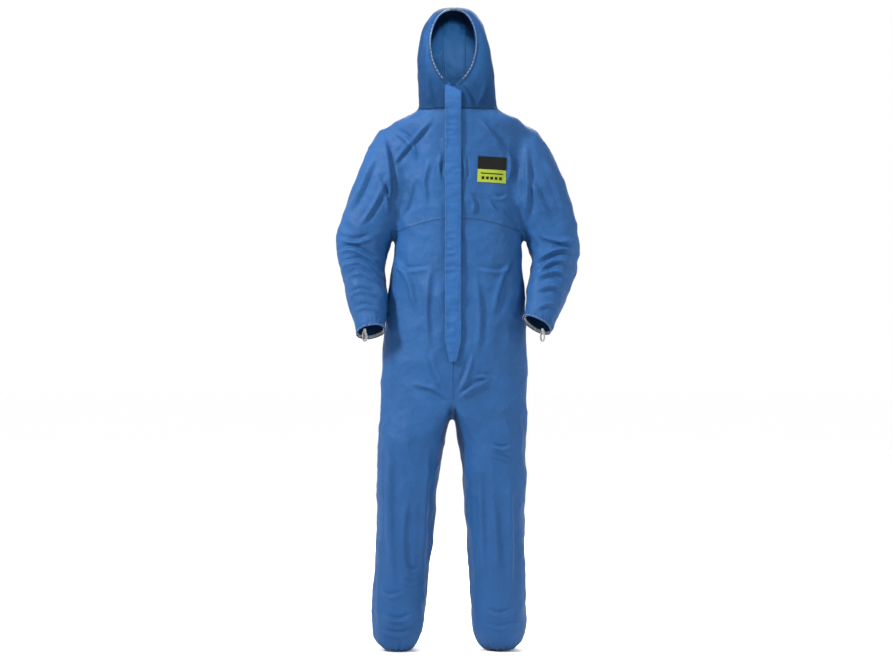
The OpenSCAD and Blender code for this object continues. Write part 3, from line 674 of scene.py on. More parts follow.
heights += (leg * (2.4 * long_folds + 0.7 * cross) + body * (1.3 * long_folds + 1.2 * slant)
            + sleeve * (1.6 * slant + (0.8 + 3.6 * elbow) * cross) + hood * 1.2 * slant + 2.4 * soft + 0.5 * small
            + (1 + 0.5 * elbow - 0.35 * hood) * (1.45 * creases - 4.3))
# the elastics draw the cloth into pleats at the waist, the cuffs and the ankles
pleats = 2.6 * np.sin(mm[:, 0] / 3.6 + 1.5 * noise(mm / 40, 3))
heights += np.where(back, pleats * np.exp(-((z + 0.433) / 0.035) ** 2), 0) * body
for side, (centre, axis) in cuff_planes.items():
    away = -((co - centre) @ axis)
    local = co - centre
    around = np.arctan2(local @ np.array([1, 0, 0]), local @ np.cross(axis, [1, 0, 0]))
    wave = np.sin(23 * around + 3 * noise(mm / 14, 8)) + 0.5 * np.sin(37 * around + 1.0)
    close = (arm == side) & (away < 0.12)
    heights += np.where(close, 1.7 * wave * np.exp(-(away / 0.022) ** 2), 0)
for x in (-0.151, 0.130):
    around = np.arctan2(co[:, 1], co[:, 0] - x)
    near = (z < -1.4) & (np.abs(co[:, 0] - x) < 0.1)
    pleats = 1.6 * np.sin(26 * around + 2 * noise(mm / 20, 9))
    heights += np.where(near, pleats * np.exp(-((z + 1.4962) / 0.022) ** 2), 0)
# the face opening's edge and the zip hold the cloth where it is
face_distance = np.full(len(co), 0.1)
head = (co[:, 1] < -0.02) & (z > 0.0)
face_distance[head] = np.abs(inside_face(co[head, 0], z[head])[0])
held = smoothstep(face_distance / 0.03)
zip_side = front & (z < 0.07) & (z > -0.70) & (np.abs(co[:, 0] - 0.003) < 0.06)
held = np.where(zip_side, held * smoothstep((np.abs(co[:, 0] - 0.003) - 0.012) / 0.03), held)
heights = 12 * np.tanh(heights / 12) * held
co = co + normal * (heights * MM)[:, None]
co = smoothed(co, edges, 1)
set_coords(mesh, co)
normal = normals_of(mesh)

# ---------------------------------------------------------------- seams: distances in mm, for the material
deg = np.degrees(np.arctan2(rest[:, 1], rest[:, 0] - 0.018))
level = -301 - 36 * np.abs(np.cos(np.radians(deg))) ** 3
seam_a = np.where(arm == 0, mm[:, 2] - level, 60)
seam_a = np.where(z > -0.12, mm[:, 2] - 3, seam_a)
middle = between(TORSO_RINGS, np.clip(mm[:, 2] + NECK_H, 705, 1500))[:, 1]
centre = np.where(rest[:, 1] < 0, 3.0, middle)
seam_b = np.where((z < 0.0) & (z > -0.80) & (arm == 0), mm[:, 0] - centre, 60)
seam_b = np.where((z < -0.80) & (rest[:, 1] > -0.06), 60, seam_b)
strip_x = 18 - 11 * np.clip(mm[:, 2] / 150, 0, 1)
lean = np.degrees(np.arctan2(mm[:, 2], HOOD_Y - mm[:, 1]))
seam_c = np.where((z > 0.0) & (lean > 76), np.abs(mm[:, 0] - strip_x) - 31, 60)
leg_x = np.where(mm[:, 0] < 3, np.interp(-z, [0.8, 1.0, 1.25, 1.5], [-105, -124, -134, -151]),
                 np.interp(-z, [0.8, 1.0, 1.25, 1.5], [106, 118, 123, 130]))
inner = (mm[:, 0] - leg_x) * np.sign(3 - mm[:, 0]) > 0
seam_c = np.where((z < -0.80) & inner, mm[:, 1] - 4, seam_c)
underarm = mm[:, 1] - np.interp(-z, [0.33, 0.4, 0.5, 0.62], [4, 0, -42, -98])
seam_c = np.where((arm != 0) & (normal[:, 0] * arm < 0), underarm, seam_c)
seams = np.clip(np.column_stack([seam_a, seam_b, seam_c]), -60, 60)

# ---------------------------------------------------------------- materials


class Nodes:
    """A material's nodes, built one call at a time."""

    def __init__(self, name, rough=0.5, metal=0.0, sheen=0.0, specular=0.5, coat=0.0):
        self.material = bpy.data.materials.new(name)
        self.material.use_nodes = True
        self.tree = self.material.node_tree
        self.shader = self.tree.nodes["Principled BSDF"]
        for key, value in (("Roughness", rough), ("Metallic", metal), ("Sheen Weight", sheen),
                           ("Specular IOR Level", specular), ("Coat Weight", coat)):
            self.shader.inputs[key].default_value = value
        self.place = self.add("ShaderNodeTexCoord").outputs["Object"]

    def add(self, kind, **values):
        node = self.tree.nodes.new(kind)
        for key, value in values.items():
            setattr(node, key, value)
        return node

    def link(self, a, b):
        self.tree.links.new(a, b)

    def scaled(self, scale, turn=(0, 0, 0)):
        node = self.add("ShaderNodeMapping")
        self.link(self.place, node.inputs[0])
        node.inputs["Scale"].default_value = scale
        node.inputs["Rotation"].default_value = turn
        return node.outputs[0]

    def noise(self, vector, scale=1.0, detail=2.0, rough=0.5):
        node = self.add("ShaderNodeTexNoise")
        self.link(vector, node.inputs["Vector"])
        for key, value in (("Scale", scale), ("Detail", detail), ("Roughness", rough)):
            node.inputs[key].default_value = value
        return node.outputs[0]

    def cells(self, vector, scale, feature="F1"):
        node = self.add("ShaderNodeTexVoronoi", feature=feature)
        self.link(vector, node.inputs["Vector"])
        node.inputs["Scale"].default_value = scale
        return node.outputs["Distance"]

    def waves(self, vector, scale, direction="X"):
        node = self.add("ShaderNodeTexWave", bands_direction=direction)
        self.link(vector, node.inputs["Vector"])
        node.inputs["Scale"].default_value = scale
        return node.outputs["Fac"]

    def ramp(self, value, stops):
        node = self.add("ShaderNodeValToRGB")
        self.link(value, node.inputs[0])
        while len(node.color_ramp.elements) < len(stops):
            node.color_ramp.elements.new(0.5)
        for element, (at, colour) in zip(node.color_ramp.elements, stops):
            element.position = at
            element.color = (*colour, 1)
        return node.outputs[0]

    def math(self, kind, a, b=0.0):
        node = self.add("ShaderNodeMath", operation=kind)
        for i, value in enumerate((a, b)):
            if isinstance(value, (int, float)):
                node.inputs[i].default_value = value
            else:
                self.link(value, node.inputs[i])
        return node.outputs[0]

    def range(self, value, a, b, c, d):
        node = self.add("ShaderNodeMapRange")
        self.link(value, node.inputs[0])
        for i, number in enumerate((a, b, c, d), 1):
            node.inputs[i].default_value = number
        return node.outputs[0]

    def mix(self, factor, a, b, blend="MIX"):
        node = self.add("ShaderNodeMix", data_type="RGBA", blend_type=blend)
        for socket, value in ((node.inputs[0], factor), (node.inputs[6], a), (node.inputs[7], b)):
            if isinstance(value, (int, float)):
                socket.default_value = value
            elif isinstance(value, tuple):
                socket.default_value = (*value, 1)
            else:
                self.link(value, socket)
        return node.outputs[2]

    def bump(self, height, distance, strength=1.0, under=None):
        node = self.add("ShaderNodeBump")
        self.link(height, node.inputs["Height"])
        node.inputs["Distance"].default_value = distance
        node.inputs["Strength"].default_value = strength
        if under:
            self.link(under, node.inputs["Normal"])
        return node.outputs[0]

    def finish(self, colour, normal=None, rough=None):
        self.link(colour, self.shader.inputs["Base Color"])
        if normal:
            self.link(normal, self.shader.inputs["Normal"])
        if rough:
            self.link(rough, self.shader.inputs["Roughness"])
        return self.material


def shade(colour, k):
    return tuple(c * k for c in colour)


BLUE = (0.0098, 0.0505, 0.147)


def nonwoven(name, base, seams=False, specular=0.15):
    """Spun-bonded cloth: fine upright fibres, rows of small embossed points, faint cloudiness."""
    m = Nodes(name, specular=specular)
    cloud = m.noise(m.place, 9, 4, 0.6)
    fibres = m.noise(m.scaled((1, 1, 0.16)), 620, 3, 0.65)
    across = m.noise(m.scaled((0.2, 0.2, 1)), 480, 2, 0.6)
    points = m.cells(m.scaled((1, 1, 0.8), (0, 0.785, 0)), 520)
    colour = m.ramp(cloud, [(0.3, shade(base, 0.86)), (0.7, shade(base, 1.12))])
    colour = m.mix(m.range(fibres, 0.3, 0.7, 0.0, 0.5), colour, shade(base, 1.5))
    colour = m.mix(m.range(points, 0.0, 0.32, 0.28, 0.0), colour, shade(base, 0.55))
    height = m.math("ADD", m.math("MULTIPLY", fibres, 0.5), m.math("MULTIPLY", across, 0.3))
    height = m.math("ADD", height, m.range(points, 0.0, 0.4, -0.5, 0.0))
    normal = m.bump(height, 0.0005, 0.55)
    crumple = m.noise(m.place, 55, 3, 0.55)
    normal = m.bump(crumple, 0.0034, 0.6, normal)
    if seams:
        found = m.add("ShaderNodeAttribute", attribute_name="seams").outputs["Vector"]
        split = m.add("ShaderNodeSeparateXYZ")
        m.link(found, split.inputs[0])
        near = [m.math("ABSOLUTE", split.outputs[k]) for k in range(3)]
        closest = m.math("MINIMUM", m.math("MINIMUM", near[0], near[1]), near[2])
        line = m.range(closest, 0.3, 1.6, 1.0, 0.0)
        ridge = m.range(closest, 1.0, 6.5, 1.0, 0.0)
        colour = m.mix(m.math("MULTIPLY", line, 0.6), colour, shade(base, 0.42))
        colour = m.mix(m.math("MULTIPLY", ridge, 0.18), colour, shade(base, 0.7))
        normal = m.bump(m.math("SUBTRACT", m.math("MULTIPLY", ridge, 0.5), line), 0.0016, 0.8, normal)
    return m.finish(colour, normal, m.range(cloud, 0.3, 0.7, 0.56, 0.68))


def woven(name, base, pitch=900, rough=0.75, dark=0.7):
    """Tape or elastic: ribs across and threads along."""
    m = Nodes(name, sheen=0.25, specular=0.3)
    a, b = m.waves(m.place, pitch, "X"), m.waves(m.place, pitch, "Z")
    weave = m.math("MULTIPLY", a, b)
    fuzz = m.noise(m.place, 700, 3)
    colour = m.mix(m.range(weave, 0, 1, 0.0, 1.0), shade(base, dark), base)
    colour = m.mix(m.range(fuzz, 0.35, 0.65, 0.0, 0.3), colour, shade(base, 0.8))
    normal = m.bump(m.math("ADD", weave, m.math("MULTIPLY", fuzz, 0.4)), 0.0004, 0.8)
    return m.finish(colour, normal, m.range(fuzz, 0.3, 0.7, rough - 0.08, rough + 0.08))


def film(name, base, rough=0.35, grain=0.08):
    """Printed or coated film with light scuffs."""
    m = Nodes(name, specular=0.12)
    scuff = m.noise(m.scaled((1, 1, 3)), 160, 5, 0.7)
    colour = m.mix(m.range(scuff, 0.35, 0.75, 0.0, grain * 4), base, tuple(min(1, c * 1.3 + 0.02) for c in base))
    return m.finish(colour, m.bump(scuff, 0.0003, 0.3), m.range(scuff, 0.3, 0.7, rough - 0.06, rough + 0.14))


def enamel(name, base):
    """Painted zip metal, worn through to bright metal in scattered patches."""
    m = Nodes(name, metal=0.55, specular=0.5)
    worn = m.noise(m.place, 900, 4, 0.6)
    colour = m.mix(m.range(worn, 0.58, 0.72, 0.0, 0.7), base, (0.62, 0.63, 0.65))
    return m.finish(colour, m.bump(worn, 0.0001, 0.4), m.range(worn, 0.3, 0.7, 0.28, 0.46))


CLOTH = nonwoven("nonwoven_blue", BLUE, seams=True)
# the hood's cloth is the body's cloth darkened to about half: painted shade
CLOTH_HOOD_PAINTED_SHADE = nonwoven("nonwoven_blue_hood_painted_shade", shade(BLUE, 0.52), seams=True, specular=0.05)
# the flap's cloth is the body's cloth made lighter: painted light
CLOTH_FLAP_PAINTED_LIGHT = nonwoven("nonwoven_blue_flap_painted_light", shade(BLUE, 1.16))
# the hems' cloth is the body's cloth a little darker: painted shade in the turned edges and folds
CLOTH_HEM_PAINTED_SHADE = nonwoven("nonwoven_blue_hem_painted_shade", shade(BLUE, 0.92))
THREAD = woven("thread_pale", (0.27, 0.31, 0.36), 2600, 0.7, 0.75)
ELASTIC = woven("elastic_white", (0.36, 0.36, 0.35), 1500, 0.7, 0.72)
TAPE = woven("zip_tape_blue", (0.012, 0.038, 0.105), 1800, 0.7, 0.6)
NYLON = film("zip_coil_nylon", (0.011, 0.034, 0.095), 0.32, 0.04)
METAL = enamel("zip_paint_blue", (0.013, 0.040, 0.110))
LABEL_DARK = film("label_dark", (0.0035, 0.0038, 0.0036), 0.6, 0.01)
LABEL_LIME = film("label_lime", (0.21, 0.27, 0.022), 0.6, 0.02)
GLUE = film("flap_glue", (0.30, 0.30, 0.26), 0.25, 0.02)
LINER = film("waxed_liner", (0.38, 0.38, 0.36), 0.4, 0.03)
SATIN = woven("care_label_satin", (0.37, 0.37, 0.37), 3000, 0.45, 0.88)

# ---------------------------------------------------------------- pieces of cloth
rounds = [tuple(f.vertices) for f in mesh.polygons]
corner = np.array([f if len(f) == 4 else f + (f[0],) for f in rounds])
mid = rest[corner].mean(1)
face_arm = np.sign(arm[corner].sum(1))
mid_level = np.interp(np.abs(np.cos(np.arctan2(mid[:, 1], mid[:, 0] - 0.018))) ** 3, [0, 1], [-0.301, -0.337])
hood_lean = np.degrees(np.arctan2(mid[:, 2], HOOD_Y * MM - mid[:, 1]))
hood_x = 0.018 - 0.011 * np.clip(mid[:, 2] / 0.15, 0, 1)
piece = np.full(len(mid), "", dtype=object)
ELBOW_CUT, KNEE_CUT, LEG_TOP = -0.387, -1.01, -0.80
frontal = mid[:, 1] < 0.0
right = mid[:, 0] < 0.003
up_to = {
    "chest_cloth": frontal & (mid[:, 2] >= mid_level), "belly_cloth": frontal & (mid[:, 2] < mid_level),
    "seat_cloth": ~frontal & (mid[:, 2] < mid_level),
}
for name, mask in up_to.items():
    for side, half in (("right", right), ("left", ~right)):
        piece[mask & half] = f"{name}_{side}"
piece[~frontal & (mid[:, 2] >= mid_level)] = "back_cloth"
for side, k in (("right", -1), ("left", 1)):
    own = face_arm == k
    piece[own & (mid[:, 2] > ELBOW_CUT)] = "upper_sleeve_cloth_" + side
    piece[own & (mid[:, 2] <= ELBOW_CUT)] = "lower_sleeve_cloth_" + side
    own = (mid[:, 2] < LEG_TOP) & (right if k < 0 else ~right)
    piece[own & (mid[:, 2] > KNEE_CUT)] = "upper_leg_cloth_" + side
    piece[own & (mid[:, 2] <= KNEE_CUT)] = "lower_leg_cloth_" + side
    piece[(mid[:, 2] > 0) & ((mid[:, 0] < hood_x) == (k < 0))] = "hood_side_cloth_" + side
piece[(mid[:, 2] > 0) & (hood_lean > 77) & (np.abs(mid[:, 0] - hood_x) < 0.031)] = "hood_centre_cloth"
STANDS_FOR = {
    "chest_cloth_right": ["front_upper_right", "sleeve_cap_right"],
    "chest_cloth_left": ["front_upper_left", "sleeve_cap_left"],
    "back_cloth": ["back_upper"], "belly_cloth_right": ["front_lower_right"], "belly_cloth_left": ["front_lower_left"],
    "seat_cloth_right": ["back_lower_right", "crotch_gusset"], "seat_cloth_left": ["back_lower_left"],
    "hood_side_cloth_right": ["hood_side_right", "hood_neck_right"],
    "hood_side_cloth_left": ["hood_side_left", "hood_neck_left"],
    "hood_centre_cloth": ["hood_centre", "hood_nape"],
}
for side in ("right", "left"):
    STANDS_FOR["upper_sleeve_cloth_" + side] = ["underarm_fold_" + side, "upper_sleeve_" + side]
    STANDS_FOR["lower_sleeve_cloth_" + side] = ["elbow_fold_" + side, "forearm_sleeve_" + side]
    STANDS_FOR["upper_leg_cloth_" + side] = ["hip_fold_" + side, "thigh_" + side]
    STANDS_FOR["lower_leg_cloth_" + side] = ["knee_fold_" + side, "shin_" + side]


def bend(obj, zone):
    """Bakes the piece's placement into its mesh; it does not bend with the joint at the hood, shoulder, elbow, hip or
    knee.
    """
    if zone == "hood":
        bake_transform(obj)
    elif zone == "shoulder":
        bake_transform(obj)
    elif zone == "elbow":
        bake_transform(obj)
    elif zone == "hip":
        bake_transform(obj)
    elif zone == "knee":
        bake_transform(obj)


def attach(obj, name):
    for start, zone in (("hood", "hood"), ("upper_sleeve", "shoulder"), ("lower_sleeve", "elbow"),
                        ("upper_leg", "hip"), ("lower_leg", "knee")):
        if name.startswith(start):
            bend(obj, zone)
            return
    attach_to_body(obj, "torso")


for name, nodes in STANDS_FOR.items():
    chosen = np.nonzero(piece == name)[0]
    used, local = np.unique(corner[chosen], return_inverse=True)
    local = local.reshape(-1, 4)
    part = mesh_of(name, co[used], [tuple(dict.fromkeys(r)) for r in local.tolist()])
    marks = part.attributes.new("seams", "FLOAT_VECTOR", "POINT")
    marks.data.foreach_set("vector", seams[used].astype(np.float32).ravel())
    # the hood pieces take the darkened copy of the cloth, which is painted shade
    part.materials.append(CLOTH_HOOD_PAINTED_SHADE if name.startswith("hood") else CLOTH)
    part.shade_smooth()
    part.normals_split_custom_set_from_vertices([tuple(n) for n in normal[used]])
    obj = object_of(name, part)
    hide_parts(*nodes)
    attach(obj, name)
whole = [tuple(p) for p in co]
suit_surface = BVHTree.FromPolygons(whole, rounds)
sleeve_surface = {k: BVHTree.FromPolygons(whole, [rounds[i] for i in np.nonzero(face_arm == k)[0]]) for k in (-1, 1)}
surface = suit_surface
bpy.data.objects.remove(suit)

# ---------------------------------------------------------------- hems, stitches and fittings


def on_cloth(p, lift):
    """The point of the cloth nearest to p, lifted off it by so many millimetres."""
    spot, n, _, _ = surface.find_nearest(Vector(p))
    return np.array(spot) + np.array(n) * lift * MM


def skin_rows(name, rows, material, closed=True, round_it=True):
    """A mesh through rows of points; each row is a loop. Closed joins the last row to the first."""
    n, m = len(rows[0]), len(rows)
    last = m if closed else m - 1
    faces = [(j * n + i, j * n + (i + 1) % n, ((j + 1) % m) * n + (i + 1) % n, ((j + 1) % m) * n + i)
             for j in range(last) for i in range(n)]
    if not closed:
        faces += [tuple(range(n))[::-1], tuple((m - 1) * n + i for i in range(n))]
    made = mesh_of(name, np.vstack(rows), faces)
    bm = bmesh.new()
    bm.from_mesh(made)
    bmesh.ops.recalc_face_normals(bm, faces=bm.faces)
    bm.to_mesh(made)
    bm.free()
    made.materials.append(material)
    if round_it:
        made.shade_smooth()
    return object_of(name, made)


def ribbon(name, path, across, width, thick, material, closed=False, ripple=0.0, pitch=3.0):
    """A strap along a path; across is the way of its width at each point, all in metres."""
    path, across = np.array(path, float), np.array(across, float)
    ahead = np.roll(path, -1, 0) - np.roll(path, 1, 0)
    if not closed:
        ahead[0], ahead[-1] = path[1] - path[0], path[-1] - path[-2]
    across /= np.linalg.norm(across, axis=1)[:, None]
    out = np.cross(ahead, across)
    out /= np.linalg.norm(out, axis=1)[:, None]
    rows = []
    for k, (p, a, o) in enumerate(zip(path, across, out)):
        wave = ripple * math.sin(k * pitch)
        profile = [(-0.5, 0.2), (-0.46, 0.5), (-0.2, 0.5), (0.2, 0.5), (0.46, 0.5), (0.5, 0.2),
                   (0.5, -0.2), (0.46, -0.5), (0.2, -0.5), (-0.2, -0.5), (-0.46, -0.5), (-0.5, -0.2)]
        rows.append([p + a * width * u + o * (thick * v + wave * (1 - abs(u) * 0.6)) for u, v in profile])
    return skin_rows(name, rows, material, closed)


def stitches(name, spots, material, radius=0.00045):
    """Short rounded threads from point to point."""
    points, faces = [], []
    for a, b, up in spots:
        a, b, up = np.array(a), np.array(b), np.array(up)
        d = b - a
        side = np.cross(d, up)
        side = side / max(1e-9, np.linalg.norm(side)) * radius
        rise = up / np.linalg.norm(up) * radius
        base = len(points)
        for t, r in ((0.0, 0.35), (0.12, 0.9), (0.5, 1.0), (0.88, 0.9), (1.0, 0.35)):
            centre = a + d * t + rise * (1.0 - 1.2 * (2 * t - 1) ** 2)
            points += [centre + r * (side * math.cos(q) + rise * math.sin(q))
                       for q in np.radians(np.arange(0, 360, 60))]
        faces += [(base + j * 6 + i, base + j * 6 + (i + 1) % 6,
                   base + j * 6 + 6 + (i + 1) % 6, base + j * 6 + 6 + i) for j in range(4) for i in range(6)]
        faces += [tuple(base + i for i in range(5, -1, -1)), tuple(base + 24 + i for i in range(6))]
    made = mesh_of(name, points, faces)
    made.materials.append(material)
    made.shade_smooth()
    return object_of(name, made)


def hem(name, loop, inward, profile, material, ripple=0.0):
    """A turned edge round an opening: profile gives (distance from the edge, lift) in millimetres."""
    rows = []
    for k, (p, back) in enumerate(zip(loop, inward)):
        spot, n, _, _ = surface.find_nearest(Vector(p + back * 1.5 * MM))
        n = np.array(n)
        row = []
        for away, lift in profile:
            lift = lift + ripple * math.sin(k * 1.9) * (1 if lift > 0 else -1)
            row.append(on_cloth(p + back * away * MM, lift) if away > 1.0 else p + back * away * MM + n * lift * MM)
        rows.append(row)
    return skin_rows(name, rows, material)


HEM = [(10.0, 0.15), (9.2, 0.9), (6.5, 1.25), (3.5, 1.3), (0.8, 1.2),
       (-0.5, 0.5), (-0.5, -0.5), (0.8, -1.1), (4.0, -1.2), (8.0, -1.0)]

# the face opening
loop, away = [], []
for k in range(0, len(FACE), 4):
    p, tangent = FACE[k], FACE[(k + 4) % len(FACE)] - FACE[k - 4]
    outward = np.array([tangent[1], -tangent[0]])
    outward /= np.linalg.norm(outward)
    if inside_face(*(p + outward * 0.004)[:, None])[0][0] > 0:
        outward = -outward
    q = p + outward * 0.0012
    hit = surface.ray_cast(Vector((q[0], -0.4, q[1])), Vector((0, 1, 0)))[0]
    if hit is None:
        continue
    q2 = p + outward * 0.009
    hit2 = surface.ray_cast(Vector((q2[0], -0.4, q2[1])), Vector((0, 1, 0)))[0]
    steady = hit2 is not None and (hit2 - hit).length < 0.03
    slope = np.array(hit2 - hit) if steady else np.array([outward[0], 0, outward[1]])
    slope /= np.linalg.norm(slope)
    loop.append(np.array(hit) - slope * 0.0012)
    away.append(slope)
loop, away = np.array(loop), np.array(away)
for _ in range(3):
    loop = (np.roll(loop, 1, 0) + 2 * loop + np.roll(loop, -1, 0)) / 4
    away = (np.roll(away, 1, 0) + 2 * away + np.roll(away, -1, 0)) / 4
face_loop, face_away = loop, away / np.linalg.norm(away, axis=1)[:, None]
# the face hem takes the hood's darkened cloth: painted shade
face_hem = hem("face_hem", face_loop, face_away, HEM, CLOTH_HOOD_PAINTED_SHADE, 0.25)
bend(face_hem, "hood")


def along_loop(loop, step):
    """Places along a closed loop at even steps: index and share to the next point."""
    d = np.linalg.norm(np.roll(loop, -1, 0) - loop, axis=1)
    length = np.append(0, np.cumsum(d))
    at = np.arange(0, length[-1], step)
    i = np.clip(np.searchsorted(length, at, side="right") - 1, 0, len(loop) - 1)
    return i, (at - length[i]) / d[i]


def loop_at(values, i, t):
    return values[i] * (1 - t) + values[(i + 1) % len(values)] * t


spots = []
i, t = along_loop(face_loop, 0.0036)
for k in range(len(i)):
    p, a = loop_at(face_loop, i[k], t[k]), loop_at(face_away, i[k], t[k])
    after = i[(k + 1) % len(i)], t[(k + 1) % len(i)]
    q, b = loop_at(face_loop, *after), loop_at(face_away, *after)
    if p[2] < 0.085 or (p[2] < 0.245 and k % 3 == 0):
        continue
    n = np.cross(q - p, a)
    n = -n if n[1] > 0 else n
    n /= np.linalg.norm(n)
    near, far = (1.2, 4.2) if k % 2 else (4.2, 1.2)
    spots.append((p + a * near * MM + n * 1.35 * MM, q + b * far * MM + n * 1.35 * MM, n))
face_thread = stitches("face_overlock", spots, THREAD, 0.0006)
bend(face_thread, "hood")
inner = [on_cloth(p + a * 5 * MM, -2.4) for p, a in zip(face_loop, face_away)]
face_band = ribbon("face_elastic_band", inner, face_away, 0.0065, 0.0010, ELASTIC, closed=True, ripple=0.0004)
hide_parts("face_elastic")
bend(face_band, "hood")

# the cuffs, with their elastic and finger loops
for side, k in (("right", -1), ("left", 1)):
    centre, axis = cuff_planes[k]
    surface = sleeve_surface[k]
    ring = np.array([on_cloth(p * MM, 0) for p in sleeve_ring(k, 13, 120)])
    for _ in range(2):
        ring = (np.roll(ring, 1, 0) + 2 * ring + np.roll(ring, -1, 0)) / 4
    inward = np.repeat([-axis], len(ring), 0)
    # the cuff hem takes the darkened cloth: painted shade
    cuff = hem("cuff_hem_" + side, ring, inward, HEM, CLOTH_HEM_PAINTED_SHADE, 0.45)
    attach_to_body(cuff, "arm_lower_" + side)
    i, t = along_loop(ring, 0.0040)
    spots = []
    for s in range(len(i)):
        p, q = loop_at(ring, i[s], t[s]), loop_at(ring, i[(s + 1) % len(i)], t[(s + 1) % len(i)])
        n = (p - centre) / np.linalg.norm(p - centre)
        near, far = (1.0, 4.0) if s % 2 else (4.0, 1.0)
        spots.append((p - axis * near * MM + n * 1.6 * MM, q - axis * far * MM + n * 1.6 * MM, n))
    thread = stitches("cuff_overlock_" + side, spots, THREAD, 0.0005)
    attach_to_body(thread, "arm_lower_" + side)
    band = ribbon("cuff_elastic_band_" + side, [on_cloth(p - axis * 0.006, -2.6) for p in ring], inward, 0.0075, 0.0011,
                  ELASTIC, closed=True, ripple=0.0005)
    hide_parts("cuff_elastic_" + side)
    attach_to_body(band, "arm_lower_" + side)
    surface = suit_surface
    low, high = (np.array(p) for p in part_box("finger_loop_" + side))
    x, y, top = (low[0] + high[0]) / 2, (low[1] + high[1]) / 2, high[2]
    half, drop = (high[0] - low[0]) / 2 - 0.0008, top - low[2]
    path = []
    for s in np.linspace(0, 1, 41):
        q = s * 2 * math.pi
        width = half * (0.22 + 0.62 * smoothstep((1 - math.cos(q)) / 1.6))
        path.append((x - width * math.sin(q), y + 0.0022 * math.sin(q),
                     top - 0.001 - (drop - 0.001) * (1 - math.cos(q)) / 2))
    strap = ribbon("finger_loop_strap_" + side, path[:-1], [(0.72, 0.69, 0.0)] * 40, 0.0070, 0.0012, ELASTIC,
                   closed=True)
    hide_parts("finger_loop_" + side)
    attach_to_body(strap, "loop_" + side)
    ring = np.array([on_cloth(p * MM, 0) for p in leg_ring(k, 3.8, 96)])
    for _ in range(4):
        ring = (np.roll(ring, 1, 0) + 2 * ring + np.roll(ring, -1, 0)) / 4
    # the ankle hem takes the darkened cloth: painted shade
    ankle = hem("ankle_hem_" + side, ring, np.repeat([[0, 0, 1.0]], len(ring), 0),
                HEM, CLOTH_HEM_PAINTED_SHADE, 0.3)
    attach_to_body(ankle, "leg_lower_" + side)
    band = ribbon("ankle_elastic_band_" + side, [on_cloth(p + np.array([0, 0, 0.006]), -2.6) for p in ring],
                  [(0, 0, 1)] * len(ring), 0.0085, 0.0011, ELASTIC, closed=True, ripple=0.0005)
    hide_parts("ankle_elastic_" + side)
    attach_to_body(band, "leg_lower_" + side)

# the elastic inside the back of the waist
path = []
for d in np.arange(26, 154.1, 1.6):
    p = torso_ring(1066, np.array([d]))[0] * MM
    path.append(on_cloth(p, -2.4))
waist = ribbon("waist_elastic_band", path, [(0, 0, 1)] * len(path), 0.009, 0.0011, ELASTIC, ripple=0.0006)
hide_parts("waist_elastic")
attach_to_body(waist, "torso")

# the flap over the zip
low, high = (np.array(p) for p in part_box("zip_flap"))
LEFT, RIGHT, TOP, FOOT = low[0], high[0], high[2], low[2]
TAPER_Z, CORNER_R, SLANT_H = -0.638, 0.010, 0.019
rows = []
for z in np.append(np.arange(TOP, FOOT, -0.003), FOOT):
    down = TOP - z
    left, right = LEFT, RIGHT
    if z < TAPER_Z:
        s = (TAPER_Z - z) / 0.057
        left, right = LEFT + 0.012 * s, RIGHT - 0.013 * s
    if down < CORNER_R:
        left += CORNER_R - math.sqrt(max(0, CORNER_R**2 - (CORNER_R - down) ** 2))
    if z > TOP - SLANT_H:
        right = LEFT + (RIGHT - LEFT) * (TOP - z) / SLANT_H if z < TOP - 1e-9 else left + 0.002
        right = max(right, left + 0.0022)
    front_row, back_row = [], []
    for s in np.linspace(0, 1, 17):
        x = left + (right - left) * s
        where = np.array([[x * 1000 / 26, 2.0, z * 1000 / 9]])
        wide = np.array([[x * 1000 / 30, 5.0, z * 1000 / 46]])
        pucker = 1.5 * noise(where, 3)[0] * (1 - 0.5 * s) + 1.8 * noise(wide, 7)[0] * s
        bent = np.array([[x * 1000 / 60 + 0.6 * s, 9.0, z * 1000 / 15]])
        pucker += 1.6 * (1 - 2 * abs(noise(bent, 13)[0])) * math.sin(math.pi * s) ** 0.5
        stitch = -0.5 * math.exp(-((x - left - 0.0052) / 0.0011) ** 2)
        stitch -= 0.35 * math.exp(-((right - 0.006 - x) / 0.0011) ** 2)
        lift = 0.35 + pucker * 0.85 + stitch - 0.25 * (abs(2 * s - 1) ** 6)
        y = low[1] - lift * MM
        front_row.append((x, y, z))
        back_row.append((x, min(y + 0.0013, low[1] + 0.0016), z))
    rows.append(front_row + back_row[::-1])
# the flap takes the lightened copy of the cloth: painted light
flap = skin_rows("zip_flap_cloth", rows, CLOTH_FLAP_PAINTED_LIGHT, closed=False)
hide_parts("zip_flap")
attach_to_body(flap, "flap")
rows = []
for z in np.arange(0.020, -0.636, -0.004):
    y = low[1] + 0.0010
    back_y = -0.1183
    wave = 0.0004 * noise(np.array([[1.0, 2.0, z * 1000 / 12]]), 13)[0]
    rows.append([(LEFT + 0.0003 + wave, y, z), (LEFT + 0.0003 + wave, back_y, z),
                 (LEFT + 0.0018, back_y, z), (LEFT + 0.0018, y, z)])
